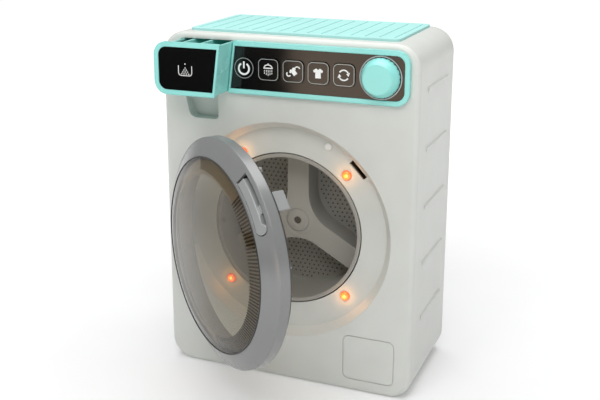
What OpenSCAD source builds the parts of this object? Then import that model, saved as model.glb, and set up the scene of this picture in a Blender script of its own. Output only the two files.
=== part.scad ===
// Toy washing machine for pretend play: a battery driven drum behind a round door,
// a detergent drawer, five push buttons and a programme dial.
// X runs to the viewer's right, Y runs to the back and Z runs up.
// The origin is on the floor under the middle of the cabinet.
// The door, the drawer and every button are drawn in their rest places.

/* [Cabinet] */
// width over the two flat sides
body_w = 200; // [196:1:240]
// height of the light grey cabinet
body_h = 267; // [255:1:320]
// depth from the front face to the back face
body_d = 98; // [98:1:140]
// radius of the four corners seen from the front
body_corner = 18; // [12:0.5:24]
// rounding of the front edge
front_round = 4; // [3:0.5:6]
// rounding of the back edge
back_round = 3; // [2.5:0.5:6]
// thickness of the cabinet walls
wall = 2.2; // [1.8:0.1:3]
// depth of the separate rear cover
cover_depth = 9; // [8:0.5:14]
// height of the side ridges from crest to toe
ridge_h = 6; // [4:0.5:12]
// how far the side ridges stand out
ridge_out = 1.2; // [0.6:0.1:2]
// number of side ridges
ridge_count = 5; // [2:1:5]
// length of each side ridge
ridge_l = 56; // [30:1:70]
// height of the lowest side ridge
ridge_low = 58; // [40:0.5:70]
// distance from the cabinet top to the middle of the highest side ridge
ridge_top = 35; // [28:0.5:60]

/* [Top plate] */
// distance from the plate to the round corners of the cabinet
top_side = 0.5; // [0.5:0.5:20]
// distance from the plate to the front face
top_front = 10; // [5:0.5:25]
// distance from the plate to the back face
top_back = 2; // [2:0.5:20]
// thickness of the coloured plate on top
top_t = 1.8; // [1.2:0.1:4]
// corner radius of the plate
top_corner = 5; // [2:0.5:10]
// number of fine ribs on the plate
top_ribs = 15; // [8:1:24]

/* [Door well and drum] */
// sideways place of the drum axis
well_x = -2; // [-4:0.5:4]
// distance from the control panel down to the door well
well_drop = 19.5; // [16:0.5:24]
// radius of the hole that shows the drum
mouth_r = 59.6; // [50:0.1:61]
// gap between the drum and the hole
drum_gap = 0.8; // [0.5:0.1:2]
// thickness of the drum wall
drum_t = 2; // [1.4:0.1:3]
// height of the three arms above the drum floor
arm_h = 20.5; // [12:0.5:24]
// radius of the round part of each pocket between the arms
pocket_r = 31; // [27:0.5:32]
// distance from the drum axis to the middle of each pocket
pocket_out = 46; // [45:0.5:50]
// gap between the drum and the tub
tub_gap = 1.6; // [1:0.1:3]
// thickness of the tub
tub_t = 1.6; // [1.2:0.1:2.4]
// radius of the four signal lights
led_r = 3.8; // [2.5:0.1:4.5]
// how far the lights stand out of the well floor
led_out = 2.4; // [1:0.1:3]
// gap between the tub and the lights
led_gap = 1; // [0.9:0.1:3]
// radius of the door switch button
switch_r = 2.9; // [2:0.1:3]
// how far the door switch button stands out of the well floor
switch_out = 1.2; // [0.6:0.1:1.3]
// depth of the well
well_depth = 8; // [7:0.1:10]
// how much wider than the door ring the well is, on each side
well_margin = 0.8; // [0.5:0.1:1.2]
// how much the well narrows to its floor, on each side
well_slope = 5.4; // [4.6:0.1:5.8]

/* [Door] */
// opening angle at rest
door_open = 37; // [0:1:95]
// how much wider than the drum hole the window is, on each side
window_over = 10.6; // [9.5:0.1:12]
// width of the sloping edge of the window
window_slope = 11.4; // [6:0.1:20]
// how far the window edge stands in front of the face
window_out = 15.4; // [14:0.1:20]
// how far the flat middle stands in front of the window edge
window_rise = 3.4; // [1:0.1:6]
// thickness of the window
window_t = 1.8; // [1.2:0.1:2.4]
// height of the straight outer band of the ring
ring_band = 7.4; // [5:0.1:9]
// gap between the closed ring and the front face
ring_gap = 0.5; // [0.3:0.1:1]
// thickness of the ring shell
ring_t = 2; // [1.4:0.1:2.6]
// radius of the hinge pin
hinge_pin_r = 1.5; // [1:0.1:1.9]
// radius of the hinge knuckle
knuckle_r = 3; // [2.6:0.1:3.4]
// length of the hinge knuckle
knuckle_l = 31; // [20:1:36]
// gap between the hinge knuckle and the door ring
hinge_gap = 0.4; // [0.3:0.1:1]
// radial running clearance of pins, shafts and axles
run_gap = 0.06; // [0.03:0.01:0.1]

/* [Door handle] */
// place of the handle round the door, up from the right
handle_angle = 43; // [42:0.5:47]
// angle that the handle bar and the gap at its upper end cover
bar_angle = 31; // [25:1:36]
// gap between the window edge and the handle bar
bar_gap = 2.4; // [2:0.1:4]
// width of the handle bar
bar_w = 5; // [4:0.1:7]
// width of the finger gap outside the bar
grip_w = 3.2; // [2.5:0.1:5]
// thickness of the latch arm
latch_t = 1.6; // [1.2:0.1:1.8]
// width of the latch arm
latch_w = 14; // [8:0.5:15]
// how far the latch reaches behind the back of the closed door
latch_reach = 9.5; // [6:0.1:11]
// radius of the lever pin
lever_pin_r = 1; // [0.8:0.1:1.3]

/* [Control panel] */
// distance from the cabinet top down to the panel
panel_drop = 4; // [3:0.1:10]
// height of the panel
panel_h = 38.8; // [37:0.1:44]
// distance from each side of the cabinet to the panel
panel_side = 6.6; // [5:0.1:12]
// how far the panel stands out of the front face
panel_out = 3; // [2.4:0.1:5]
// width of the coloured rim round the black front
panel_rim = 3.6; // [2.5:0.1:4]
// radius of the panel's outer corners
panel_corner = 10; // [7:0.5:14]
// how far the split beside the drawer leans to the right over the panel's height
split_lean = 5; // [0:0.5:8]
// size of the square buttons
key_size = 16.4; // [12:0.1:16.8]
// corner radius of the square buttons
key_corner = 4; // [2:0.1:5]
// distance between neighbouring buttons
key_pitch = 19.2; // [19:0.1:19.6]
// distance from the drawer front to the first button's middle
first_key_in = 10.8; // [10.6:0.1:11.6]
// radius of the round power button
power_r = 7.9; // [5:0.1:8.2]
// play round each button
key_gap = 0.25; // [0.15:0.05:0.4]
// travel of each button
key_travel = 1; // [0.6:0.1:2]
// gap between the last button and the dial
key_to_dial = 4.6; // [2.6:0.1:8]
// distance from the panel's right end to the middle of the dial
dial_in = 20.8; // [20.4:0.1:21.6]
// radius of the dial knob at its foot
dial_r = 14; // [10:0.1:14.2]
// how much the dial knob narrows to its face
dial_taper = 3; // [1.5:0.1:4]
// height of the dial knob
dial_h = 9; // [6:0.1:14]
// number of grip flutes on the knob
dial_flutes = 24; // [12:1:30]

/* [Detergent drawer] */
// how far the drawer is pulled out at rest
drawer_pull = 21.5; // [0:0.5:40]
// length of the drawer behind its front
drawer_l = 54; // [42:0.5:80]
// thickness of the drawer walls
drawer_t = 1.6; // [1.2:0.1:2.4]
// play round the drawer in its bay
drawer_gap = 0.4; // [0.3:0.05:0.6]
// thickness of the bay walls
bay_t = 1.4; // [1:0.1:1.8]
// distance from the panel's left end to the middle of the finger scoop
scoop_in = 24.8; // [22:0.1:32]
// width of the finger scoop under the drawer
scoop_w = 29.2; // [22:0.1:32]
// how far the left side of the finger scoop slants inwards at the bottom
scoop_lean = 4.2; // [0:0.1:6]
// height of the finger scoop
scoop_h = 21; // [14:0.5:22]
// depth of the finger scoop
scoop_depth = 9; // [5:0.5:12]

/* [Drive] */
// gear module
gear_m = 0.8; // [0.7:0.05:0.85]
// teeth on the small gears
small_teeth = 12; // [11:1:14]
// teeth on the two intermediate wheels
wheel_teeth = 36; // [30:1:40]
// teeth on the drum gear
drum_teeth = 48; // [40:1:52]
// face width of the wheel on the motor's side
layer_t = 3.5; // [2.5:0.1:4]
// radius of the drum shaft
shaft_r = 2.5; // [2:0.1:3]
// radius of the two gear axles
axle_r = 1; // [0.8:0.1:1.4]
// radius of the motor shaft
motor_shaft_r = 1; // [0.8:0.1:1.2]
// length of the motor can
motor_l = 25; // [15:0.5:25]
// room between the motor and the rear cover
motor_room = 0.9; // [0.4:0.1:8]
// height of the motor can
motor_h = 20.1; // [16:0.1:22]
// width of the motor can over its flats
motor_w = 15.1; // [13:0.1:18]

/* [Electrics] */
// radius of the battery cells
cell_r = 7.1; // [5:0.05:7.3]
// length of the battery cells
cell_l = 49.2; // [44:0.1:51]
// height of the lowest cell above the floor
cell_z = 32; // [22:0.5:40]
// radius of the speaker
speaker_r = 14.5; // [11:0.5:18]
// distance from the right side of the cabinet to the middle of the speaker
speaker_in = 42; // [32:0.5:50]
// distance from the cabinet top down to the middle of the speaker
speaker_down = 71; // [52:0.5:87]
// thickness of the circuit board
board_t = 1.6; // [1:0.1:2]

/* [Hidden] */
$fn = 64;

// places along the depth
front_y = -body_d / 2;
back_y = body_d / 2;
cover_y = back_y - cover_depth;
floor_y = front_y + well_depth;
floor_back_y = floor_y + wall;
inner_back_y = back_y - wall;

// drive, set back to front from the rear cover
motor_tab_l = 2.4;
cup_t = 1.6;
wheel_gap = 1.5;
box_t = 2;
motor_y = inner_back_y - motor_room - (motor_tab_l - 0.1) - motor_l;
cup_y = motor_y - cup_t;
layer_y = cup_y - wheel_gap - layer_t;
box_y = layer_y - 2 * box_t;
tub_back_gap = 2;
tub_back_t = 2;
tub_end_y = box_y;
tub_back_y = tub_end_y - tub_back_t;
drum_back_y = tub_back_y - tub_back_gap;

// control panel outline and door well
panel_top = body_h - panel_drop;
panel_low = panel_top - panel_h;
panel_z = (panel_top + panel_low) / 2;
panel_end = body_w / 2 - panel_side;
window_r = mouth_r + window_over;
window_flat_r = window_r - window_slope;
bar_in_r = window_r + bar_gap;
bar_out_r = bar_in_r + bar_w;
ring_step = 0.6;
grip_out_r = bar_out_r + grip_w;
ring_in_r = grip_out_r + ring_step;
ring_r = ring_in_r + ring_t;
well_r = ring_r + well_margin;
well_floor_r = well_r - well_slope;
well_z = panel_low - well_drop - well_r;
ridge_pitch = (body_h - ridge_top - ridge_low) / (ridge_count - 1);
LED_ANGLES = [45, -45, 122.5, 225];
POST_ANGLES = [25, 155, 205, 335];

// drum and tub
drum_r = mouth_r - drum_gap;
drum_in_r = drum_r - drum_t;
drum_depth = drum_back_y - floor_y;
drum_floor_y = drum_back_y - drum_t;
arm_y = drum_floor_y - arm_h;
tub_in_r = drum_r + tub_gap;
tub_r = tub_in_r + tub_t;
led_ring_r = tub_r + led_gap + led_r;
led_flange = 0.8;
post_r = 3.6;
post_ring_r = tub_r + 4.4;
post_l = 8;
ear_t = 2;
hub_r = shaft_r + 3.5;
bush_r = shaft_r + 2;
hub_face_y = arm_y - 1.2;

// gear train
second_y = layer_y + layer_t + wheel_gap;
second_t = 3;
drum_gear_y = second_y + second_t + 2;
drum_gear_t = 4;
gear_hub_r = shaft_r + 2.5;
gear_hub_l = 5;
box_end_y = drum_gear_y + drum_gear_t + 2.5;
box_cover_end_y = box_end_y + box_t;
small_r = gear_m * small_teeth / 2;
wheel_r = gear_m * wheel_teeth / 2;
drum_gear_r = gear_m * drum_teeth / 2;
tooth_out = 0.8 * gear_m;
second_angle = 120;
first_angle = 60;
motor_angle = 0;
second_c = [well_x + (drum_gear_r + small_r) * cos(second_angle),
    well_z + (drum_gear_r + small_r) * sin(second_angle)];
first_c = [second_c[0] + (wheel_r + small_r) * cos(first_angle),
    second_c[1] + (wheel_r + small_r) * sin(first_angle)];
motor_c = [first_c[0] + (wheel_r + small_r) * cos(motor_angle),
    first_c[1] + (wheel_r + small_r) * sin(motor_angle)];
cup_gap = 0.1;
box_gap = 1;
box_left = second_c[0] - wheel_r - tooth_out - box_gap - box_t;
box_right = motor_c[0] + motor_w / 2 + cup_gap + cup_t + box_gap + box_t;
box_low = well_z - drum_gear_r - tooth_out - box_gap - box_t;
box_high = first_c[1] + wheel_r + tooth_out + box_gap + box_t;

// control panel; the drawer front takes what the dial and the buttons leave of its width
dial_x = panel_end - dial_in;
first_key_x = dial_x - dial_r - key_to_dial - key_size / 2 - 4 * key_pitch;
panel_split = first_key_x - first_key_in;
base_grow = 1.2;
split_gap = 0.6;
dial_face_r = dial_r - dial_taper;
dial_shaft_r = 3;
panel_face_y = front_y - panel_out;
fascia_y = front_y - panel_out + 0.8;
fascia_back_y = fascia_y + 1.6;
base_back_y = front_y + 1.6;
split_rim = 1.4;
drawer_rim_right = 1.8;
flange_t = 1.2;
flange_w = 1;
flange_y = base_back_y + 0.1;
stem_l = 1.5;
dome_gap = key_travel + 0.1;
dome_h = key_travel + 0.4;
sheet_t = 0.6;
sheet_h = 13;
dome_top_r = 2.6;
dome_foot_r = 4.2;
stem_end_y = flange_y + flange_t + stem_l;
board_y = stem_end_y + dome_gap + dome_h + sheet_t;
board_end_y = board_y + board_t;
board_left = first_key_x - 7;
board_right = dial_x + 12;
board_low = panel_low + 6;
board_high = panel_top - 6;
board_hole_x = [board_left + 1.9, dial_x - 16.2];
board_hole_z = [board_low + 2.5, board_high - 2.5];
pillar_r = 2.2;
board_screw_r = 0.9;
board_head_r = 2.1;
board_head_t = 1.2;
chip_w = 22;
chip_h = 14;
chip_t = 2;
plug_w = 9;
plug_h = 5;
plug_t = 6;
coil_w = 8;
coil_t = 5;
encoder_hole_r = 3.6;
encoder_w = 12;
encoder_t = 6.5;
dial_hole_r = 4.2;

// drawer, drawn closed and then pulled out
drawer_left = -panel_end + 5.6;
drawer_right = panel_split - split_gap - 0.2;
drawer_low = panel_low + 1.2;
drawer_high = min(panel_top, body_h - wall - bay_t - drawer_gap) - 0.8;
drawer_corner = 7.6;
drawer_front_t = 1.2;
middle_floor = 3;
cup_w = (drawer_right - drawer_left - 4 * drawer_t) / 3;
drawer_back_y = front_y + drawer_l;
mouth_low = drawer_low - drawer_gap;
mouth_high = drawer_high + drawer_gap;
bay_end_y = drawer_back_y + 3;
scoop_x = -panel_end + scoop_in;
scoop_top = mouth_low - bay_t - 0.1;
scoop_left_r = 7;
scoop_right_r = 3;

// door, drawn closed round the drum axis and then opened about its pin
hinge_x = well_x - ring_r - hinge_gap - knuckle_r;
hinge_y = front_y;
ring_back_y = front_y - ring_gap;
ring_edge_y = ring_back_y - ring_band;
window_y = front_y - window_out;
liner_lip_r = ring_in_r - 0.2;
seat_gap = 5;
door_back_y = floor_y - seat_gap;
liner_back_r = well_floor_r;
liner_step_r = led_ring_r + led_r + 1.6;
liner_step_y = min(floor_y - led_out - 1.8, door_back_y - 1.2);
liner_bore_r = window_r - 2.2;
liner_t = 1.8;
window_flange_r = bar_in_r - 0.8;
window_back_y = window_y + 4;
window_flange_t = 1.4;
ring_edge_r = ring_r - 0.8;
ring_slope = (ring_edge_y - 0.8 - window_y) / (ring_edge_r - window_r);
ring_inner_y = window_y + 3.2;
ring_inner_slope = (ring_edge_y + 1.4 - ring_inner_y) / (ring_in_r - window_r);
door_post_r = 2;
door_screw_r = 1;
door_screw_ring_r = liner_step_r + liner_t + door_post_r;
door_screw_y = window_back_y + 4.4;
door_post_y = ring_inner_y + (door_screw_ring_r - window_r) * ring_inner_slope - 1.3;
door_post_end_y = liner_step_y - liner_t - 0.6;
DOOR_SCREW_ANGLES = [10, 90, 130, 230, 270, 330];

// handle lever and latch
lever_y = front_y - 3;
lever_r = (bar_in_r + bar_out_r) / 2 + 1.3;
lever_boss_r = lever_pin_r + 1.3;
lug_t = 2;
lug_gap = 1.2;
grip_low = handle_angle - bar_angle / 2 + 3;
grip_high = handle_angle + bar_angle / 2 + 1.5;
grip_in_r = bar_in_r - 0.5;
grip_end_r = (grip_out_r - grip_in_r) / 2;
pad_play = 0.35;
pad_r = grip_end_r - 0.65;
latch_end_y = door_back_y + latch_reach;
bar_back_y = window_y + 7.8;
slot_in = 0.9;
slot_out = 1.1;
latch_play = 0.9;

// fittings
speaker_x = body_w / 2 - speaker_in;
speaker_z = body_h - speaker_down;
speaker_rim_t = 1.6;
magnet_r = 9;
magnet_l = 10;
screw_sunk = 4;
screw_bite = 12;
grille_hole_r = 1.1;
lug_z = knuckle_l / 2 + 2.3;
stake_r = 1.4;
boss_r = 4;
boss_x = body_w / 2 - wall - boss_r + 0.4;
boss_low = 30;
boss_high = body_h - 53;
boss_zs = [boss_low, (boss_low + boss_high) / 2, boss_high];
boss_y = cover_y - 30;
screw_r = 1.3;
head_r = 2.8;
head_t = 1.8;
peg_r = 2;
peg_out = 0.6;
top_rib_w = 0.8;
top_rib_in = 6;
top_w = body_w - 2 * (body_corner + top_side);
top_d = body_d - top_front - top_back;
top_y = (top_front - top_back) / 2;
peg_x = top_w / 2 - 12;
peg_y = top_d / 2 - 14;
switch_angle = 64.2;
switch_pit = 5.4;
presser_r = 2.2;
presser_gap = 0.4;
switch_ring_r = (liner_step_r + liner_back_r) / 2 - 0.5;
grille_ring = 3.6;
flap_w = 40.4;
flap_h = 36;
flap_corner = 5;
flap_line = 0.7;
flap_x = body_w / 2 - 33;
flap_z = flap_h / 2 + 9.6;

// batteries
cell_pitch = 2 * cell_r + 0.6;
cell_gap = 0.3;
bat_wall = 1.6;
bat_in_w = cell_l + 8;
bat_low = cell_z - cell_r - cell_gap - bat_wall;
bat_high = cell_z + 2 * cell_pitch + cell_r + cell_gap + bat_wall;
bat_y = inner_back_y - 2 * cell_r - 2 * cell_gap - bat_wall;
bat_mid = (bat_low + bat_high) / 2;
contact_t = 0.6;
contact_w = 11;
coil_foot_r = 4.6;
coil_top_r = 3;
stud_r = 2;
hatch_gap = 0.2;
hatch_h = bat_high - bat_low - 2 * bat_wall - 2 * hatch_gap;
hatch_corner = 2;
hatch_screw_z = bat_mid + hatch_h / 2 - 5;
hatch_head_t = 1;
hatch_rib_w = 1.2;
hatch_rib_l = 28;
hatch_rib_pitch = 4;

// gear teeth
pressure = 25;
backlash = 0.6;
function inv(a) = tan(a) * 180 / PI - a;
function flank(r, rb) = r <= rb ? 0 : inv(acos(rb / r));
function tooth_half(r, n) = 90 / n - backlash + inv(pressure)
    - flank(r, gear_m * n / 2 * cos(pressure));
function gear_points(n, turn) =
    let (rp = gear_m * n / 2, rt = rp + tooth_out, rr = rp - tooth_out - 0.25 * gear_m,
        rb = rp * cos(pressure), r0 = max(rb, rr), steps = 4)
    [for (k = [0:n - 1]) let (a = turn + 360 * k / n) each concat(
        [rr * [cos(a - tooth_half(r0, n) - 1.5 * (r0 > rr ? 1 : 0)),
            sin(a - tooth_half(r0, n) - 1.5 * (r0 > rr ? 1 : 0))]],
        [for (i = [0:steps]) let (r = r0 + (rt - r0) * i / steps, h = tooth_half(r, n))
            r * [cos(a - h), sin(a - h)]],
        [for (i = [steps:-1:0]) let (r = r0 + (rt - r0) * i / steps, h = tooth_half(r, n))
            r * [cos(a + h), sin(a + h)]],
        [rr * [cos(a + tooth_half(r0, n) + 1.5 * (r0 > rr ? 1 : 0)),
            sin(a + tooth_half(r0, n) + 1.5 * (r0 > rr ? 1 : 0))]])];
// turn of a gear that meshes with another one whose turn is known
function mesh_turn(link, turn, n_from, n_to) = link + 180
    - (0.5 - (link - turn) * n_from / 360) * 360 / n_to;
drum_turn = 0;
second_small_turn = mesh_turn(second_angle, drum_turn, drum_teeth, small_teeth);
second_wheel_turn = 0;
first_small_turn = mesh_turn(first_angle, second_wheel_turn, wheel_teeth, small_teeth);
first_wheel_turn = 0;
pinion_turn = mesh_turn(motor_angle, first_wheel_turn, wheel_teeth, small_teeth);

// colours
CABINET = [0.80, 0.82, 0.79];
MINT = [0.50, 0.88, 0.84];
TEAL = [0.16, 0.55, 0.54];
BLACK = [0.04, 0.04, 0.04];
DOOR = [0.55, 0.58, 0.59];
SMOKE = [0.30, 0.26, 0.22, 0.55];
LINER = [0.25, 0.22, 0.20];
CELL = [0.2, 0.2, 0.22];
DRUM = [0.46, 0.45, 0.43];
STEEL = [0.72, 0.73, 0.75];
WHITE = [0.93, 0.93, 0.91];
AMBER = [1.0, 0.62, 0.25];
GREEN = [0.10, 0.42, 0.22];
BRASS = [0.80, 0.66, 0.32];

// a flat outline in front view, made as deep as asked from y backwards
module slab(y, depth) {
    translate([0, y + depth, 0]) rotate([90, 0, 0]) linear_extrude(depth) children();
}

// a round solid about the drum axis, from an outline of radius against minus y
module about_drum() {
    translate([well_x, 0, well_z]) rotate([90, 0, 0]) rotate_extrude($fn = 128) children();
}

// a cylinder along the depth
module rod(x, z, y, r, depth) {
    slab(y, depth) translate([x, z]) circle(r);
}

// a tube along the depth
module sleeve(x, z, y, r, bore, depth) {
    slab(y, depth) translate([x, z]) difference() {
        circle(r);
        circle(bore);
    }
}

// a rounded rectangle about a centre
module rounded(x, z, w, h, r) {
    translate([x, z]) {
        square([w, h - 2 * r], center = true);
        square([w - 2 * r, h], center = true);
        for (sx = [-1, 1], sz = [-1, 1])
            translate([sx * (w / 2 - r), sz * (h / 2 - r)]) circle(r);
    }
}

// sideways shift of a leaning edge at a height
function lean(z) = split_lean * (z - panel_z) / panel_h;

// the long panel outline between two ends: a round end is upright, the other kind leans
module panel_outline(left, right, low, high, r, round_left, round_right) {
    from = [for (z = [low, high]) round_left ? left + r : left + lean(z)];
    to = [for (z = [low, high]) round_right ? right - r : right + lean(z)];
    polygon([[from[0], low], [to[0], low], [to[1], high], [from[1], high]]);
    for (side = [0, 1])
        if (side == 0 ? round_left : round_right)
            translate([side == 0 ? left + r : right - r, 0]) {
                translate([side == 0 ? -r : 0, low + r]) square([r, high - low - 2 * r]);
                translate([0, low + r]) circle(r);
                translate([0, high - r]) circle(r);
            }
}

// cross section of a tray wall: the floor is at the top, the open side at zero
module tray_section(r, depth, t, edge) {
    difference() {
        union() {
            square([r - edge, depth]);
            square([r, depth - edge]);
            translate([r - edge, depth - edge]) circle(edge);
        }
        translate([-1, -1]) square([r - t + 1, depth - t + 1]);
    }
}

// open tray with rounded corners and a rounded floor edge
module tray(w, h, r, depth, t, edge) {
    translate([0, 0, depth - t]) linear_extrude(t) square([w - 2 * r, h - 2 * r], center = true);
    for (k = [0:3]) rotate([0, 0, 90 * k]) {
        across = k % 2 == 0 ? w : h;
        along = k % 2 == 0 ? h : w;
        translate([across / 2 - r, 0, 0]) rotate([90, 0, 0])
            linear_extrude(along - 2 * r, center = true) tray_section(r, depth, t, edge);
        translate([across / 2 - r, along / 2 - r, 0])
            rotate_extrude(angle = 90) tray_section(r, depth, t, edge);
    }
}

// a place on a circle about the drum axis
function on_ring(r, a) = [well_x + r * cos(a), well_z + r * sin(a)];

// a cylinder along the depth, placed on a circle about the drum axis
module rod_on_ring(ring, a, y, r, depth) {
    rod(on_ring(ring, a)[0], on_ring(ring, a)[1], y, r, depth);
}

// CABINET

module ridge(side, z) {
    translate([side * (body_w / 2 - 0.3), ridge_l / 2 + 1, z]) rotate([90, 0, 0])
        linear_extrude(ridge_l) scale([side, 1]) polygon([[0, ridge_h / 2],
            [0.3 + ridge_out, ridge_h / 2 - ridge_out], [0, -ridge_h / 2]]);
}

// cup under the drawer: its left side slants and its lower corners are round
module scoop_outline(grow) {
    slant = atan(scoop_lean / scoop_h);
    low = scoop_top - scoop_h;
    left = [scoop_x - scoop_w / 2 + scoop_lean + scoop_left_r, low + scoop_left_r];
    right = [scoop_x + scoop_w / 2 - scoop_right_r, low + scoop_right_r];
    edge = right[0] + scoop_right_r + grow;
    side = left - (scoop_left_r + grow) * [cos(slant), sin(slant)];
    polygon([side, side + (scoop_top - side[1]) * [-tan(slant), 1], [edge, scoop_top],
        [edge, right[1]], right, [right[0], low - grow], [left[0], low - grow], left]);
    translate(left) circle(scoop_left_r + grow);
    translate(right) circle(scoop_right_r + grow);
}

module front_casing() {
    depth = cover_y - front_y;
    color(CABINET) {
        difference() {
            union() {
                translate([0, cover_y, body_h / 2]) rotate([90, 0, 0])
                    tray(body_w, body_h, body_corner, depth, wall, front_round);
                about_drum() polygon([[mouth_r, -floor_back_y], [well_floor_r + wall, -floor_back_y],
                    [well_r + wall, -front_y - 1], [mouth_r, -front_y - 1]]);
                slab(front_y + 1, scoop_depth + wall - 1) scoop_outline(wall);
                slab(front_y + 1, well_depth + wall - 1) hinge_pocket(wall);
                for (side = [-1, 1], z = boss_zs)
                    rod(side * boss_x, z, boss_y, boss_r, cover_y - boss_y);
                for (side = [-1, 1], k = [0:ridge_count - 1])
                    ridge(side, ridge_low + k * ridge_pitch);
                for (a = POST_ANGLES) rod_on_ring(post_ring_r, a, floor_back_y - 0.5, post_r, post_l + 0.5);
            }
            about_drum() polygon([[mouth_r - 2, -floor_y], [well_floor_r, -floor_y],
                [well_r, -front_y], [well_r + well_slope / well_depth, -front_y + 1],
                [mouth_r - 2, -front_y + 1]]);
            rod(well_x, well_z, front_y - 1, mouth_r, well_depth + wall + 2);
            slab(front_y - 1, scoop_depth + 1) scoop_outline(0);
            slab(front_y - 1, well_depth + 1) hinge_pocket(0);
            // way in for the drawer and for the panel base
            slab(front_y - 1, wall + 2) mouth_outline(0);
            slab(front_y - 1, wall + 2) panel_base_outline(0.35);
            latch_opening();
            for (a = LED_ANGLES) rod_on_ring(led_ring_r, a, floor_y - 1, led_r + 0.05, wall + 2);
            rod_on_ring(switch_ring_r, switch_angle, floor_y - 1, switch_r + 0.15, wall + 2);
            for (side = [-1, 1], z = boss_zs) rod(side * boss_x, z, cover_y - 22, screw_r, 23);
            for (a = POST_ANGLES) rod_on_ring(post_ring_r, a, floor_back_y + 1, screw_r, post_l);
            for (sx = [-1, 1], sy = [-1, 1])
                translate([sx * peg_x, top_y + sy * peg_y, body_h - wall - 1])
                    cylinder(r = peg_r + 0.1, h = wall + 2);
            for (s = [-1, 1]) rod(hinge_x, well_z + s * lug_z, floor_y - 1, stake_r, wall + 2);
            // outline of the moulded filter flap
            slab(front_y - 1, 1.6) difference() {
                rounded(flap_x, flap_z, flap_w, flap_h, flap_corner);
                rounded(flap_x, flap_z, flap_w - 2 * flap_line, flap_h - 2 * flap_line,
                    flap_corner - flap_line);
            }
        }
    }
}

// recess beside the well for the hinge
module hinge_pocket(grow) {
    h = knuckle_l + 14;
    left = hinge_x - knuckle_r - 1.4;
    right = well_x - well_floor_r + 6;
    translate([left - grow, well_z - h / 2 - grow]) square([right - left + grow, h + 2 * grow]);
}

// slot in the well floor for the latch
module latch_opening() {
    at_handle() translate([lever_r - latch_t / 2 - slot_in, floor_y - 1, -latch_w / 2 - latch_play])
        cube([latch_t + slot_in + slot_out, wall + 2, latch_w + 2 * latch_play]);
}

module rear_cover() {
    color(CABINET) difference() {
        union() {
            translate([0, cover_y, body_h / 2]) rotate([-90, 0, 0])
                tray(body_w, body_h, body_corner, cover_depth, wall, back_round);
            // lip that centres the cover in the front casing
            slab(cover_y - 3, 5) difference() {
                rounded(0, body_h / 2, body_w - 2 * wall - 0.4, body_h - 2 * wall - 0.4,
                    body_corner - wall - 0.2);
                rounded(0, body_h / 2, body_w - 2 * wall - 3.2, body_h - 2 * wall - 3.2,
                    body_corner - wall - 1.6);
            }
            slab(cover_y, 2) difference() {
                rounded(0, body_h / 2, body_w - 1, body_h - 1, body_corner - 0.5);
                rounded(0, body_h / 2, body_w - 2 * wall - 3.2, body_h - 2 * wall - 3.2,
                    body_corner - wall - 1.6);
            }
            for (side = [-1, 1], z = boss_zs)
                rod(side * boss_x, z, cover_y + 0.1, boss_r, cover_depth - 1);
        }
        for (side = [-1, 1], z = boss_zs) {
            rod(side * boss_x, z, cover_y - 4, boss_r + 0.3, 4.1);
            rod(side * boss_x, z, cover_y - 1, screw_r + 0.25, cover_depth + 2);
            rod(side * boss_x, z, back_y - screw_sunk, head_r + 0.3, screw_sunk + 1);
        }
        // battery hatch, its screw hole and the speaker grille
        slab(inner_back_y - 1, wall + 2)
            rounded(0, bat_mid, bat_in_w, bat_high - bat_low - 2 * bat_wall, hatch_corner);
        for (ring = [0:2], k = [0:max(1, ring * 6) - 1])
            rod(speaker_x + ring * grille_ring * cos(k * 60 / max(ring, 1)),
                speaker_z + ring * grille_ring * sin(k * 60 / max(ring, 1)),
                inner_back_y - 1, grille_hole_r, wall + 2);
    }
}

module top_plate() {
    color(MINT) {
        translate([0, 0, body_h]) linear_extrude(top_t) rounded(0, top_y, top_w, top_d, top_corner);
        for (k = [0:top_ribs - 1])
            translate([-top_w / 2 + top_w * (k + 0.5) / top_ribs, top_y, body_h + top_t + 0.15])
                cube([top_rib_w, top_d - 2 * top_rib_in, 0.5], center = true);
        for (sx = [-1, 1], sy = [-1, 1])
            translate([sx * peg_x, top_y + sy * peg_y, body_h - wall - peg_out])
                cylinder(r = peg_r, h = wall + peg_out + 0.1);
    }
}

// CONTROL PANEL

function key_x(k) = first_key_x + k * key_pitch;

// outline of the plate behind the black front
module panel_base_outline(grow) {
    edge = base_grow + grow;
    panel_outline(panel_split + split_rim + split_gap - grow, panel_end - panel_rim + edge,
        panel_low + panel_rim - edge, panel_top - panel_rim + edge,
        panel_corner - panel_rim + edge, false, true);
}

module key_outline(k, grow) {
    if (k == 0)
        translate([key_x(0), panel_z]) circle(power_r + grow);
    else
        rounded(key_x(k), panel_z, key_size + 2 * grow, key_size + 2 * grow, key_corner + grow);
}

module fascia_outline(grow) {
    panel_outline(panel_split + split_rim - grow, panel_end - panel_rim + grow,
        panel_low + panel_rim - grow, panel_top - panel_rim + grow,
        panel_corner - panel_rim + grow, false, true);
}

module panel_frame() {
    color(MINT) difference() {
        union() {
            slab(panel_face_y, panel_out) difference() {
                panel_outline(panel_split, panel_end, panel_low, panel_top, panel_corner, false, true);
                fascia_outline(0);
            }
            slab(fascia_back_y, base_back_y - fascia_back_y) panel_base_outline(0);
            for (x = board_hole_x, z = board_hole_z)
                rod(x, z, base_back_y - 0.5, pillar_r, board_y - base_back_y + 0.5);
        }
        for (k = [0:4]) slab(fascia_back_y - 1, 6) key_outline(k, key_gap);
        rod(dial_x, panel_z, fascia_back_y - 1, dial_hole_r, 6);
        for (x = board_hole_x, z = board_hole_z)
            rod(x, z, base_back_y, board_screw_r, board_y - base_back_y + 1);
    }
}

module panel_fascia() {
    color(BLACK) slab(fascia_y, fascia_back_y - fascia_y) difference() {
        fascia_outline(-0.15);
        for (k = [0:4]) key_outline(k, key_gap);
        translate([dial_x, panel_z]) circle(dial_hole_r);
    }
}

module dial_ring() {
    color(WHITE) sleeve(dial_x, panel_z, fascia_y - 0.8, dial_r + 1.5, dial_r + 0.6, 0.8);
}

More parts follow.
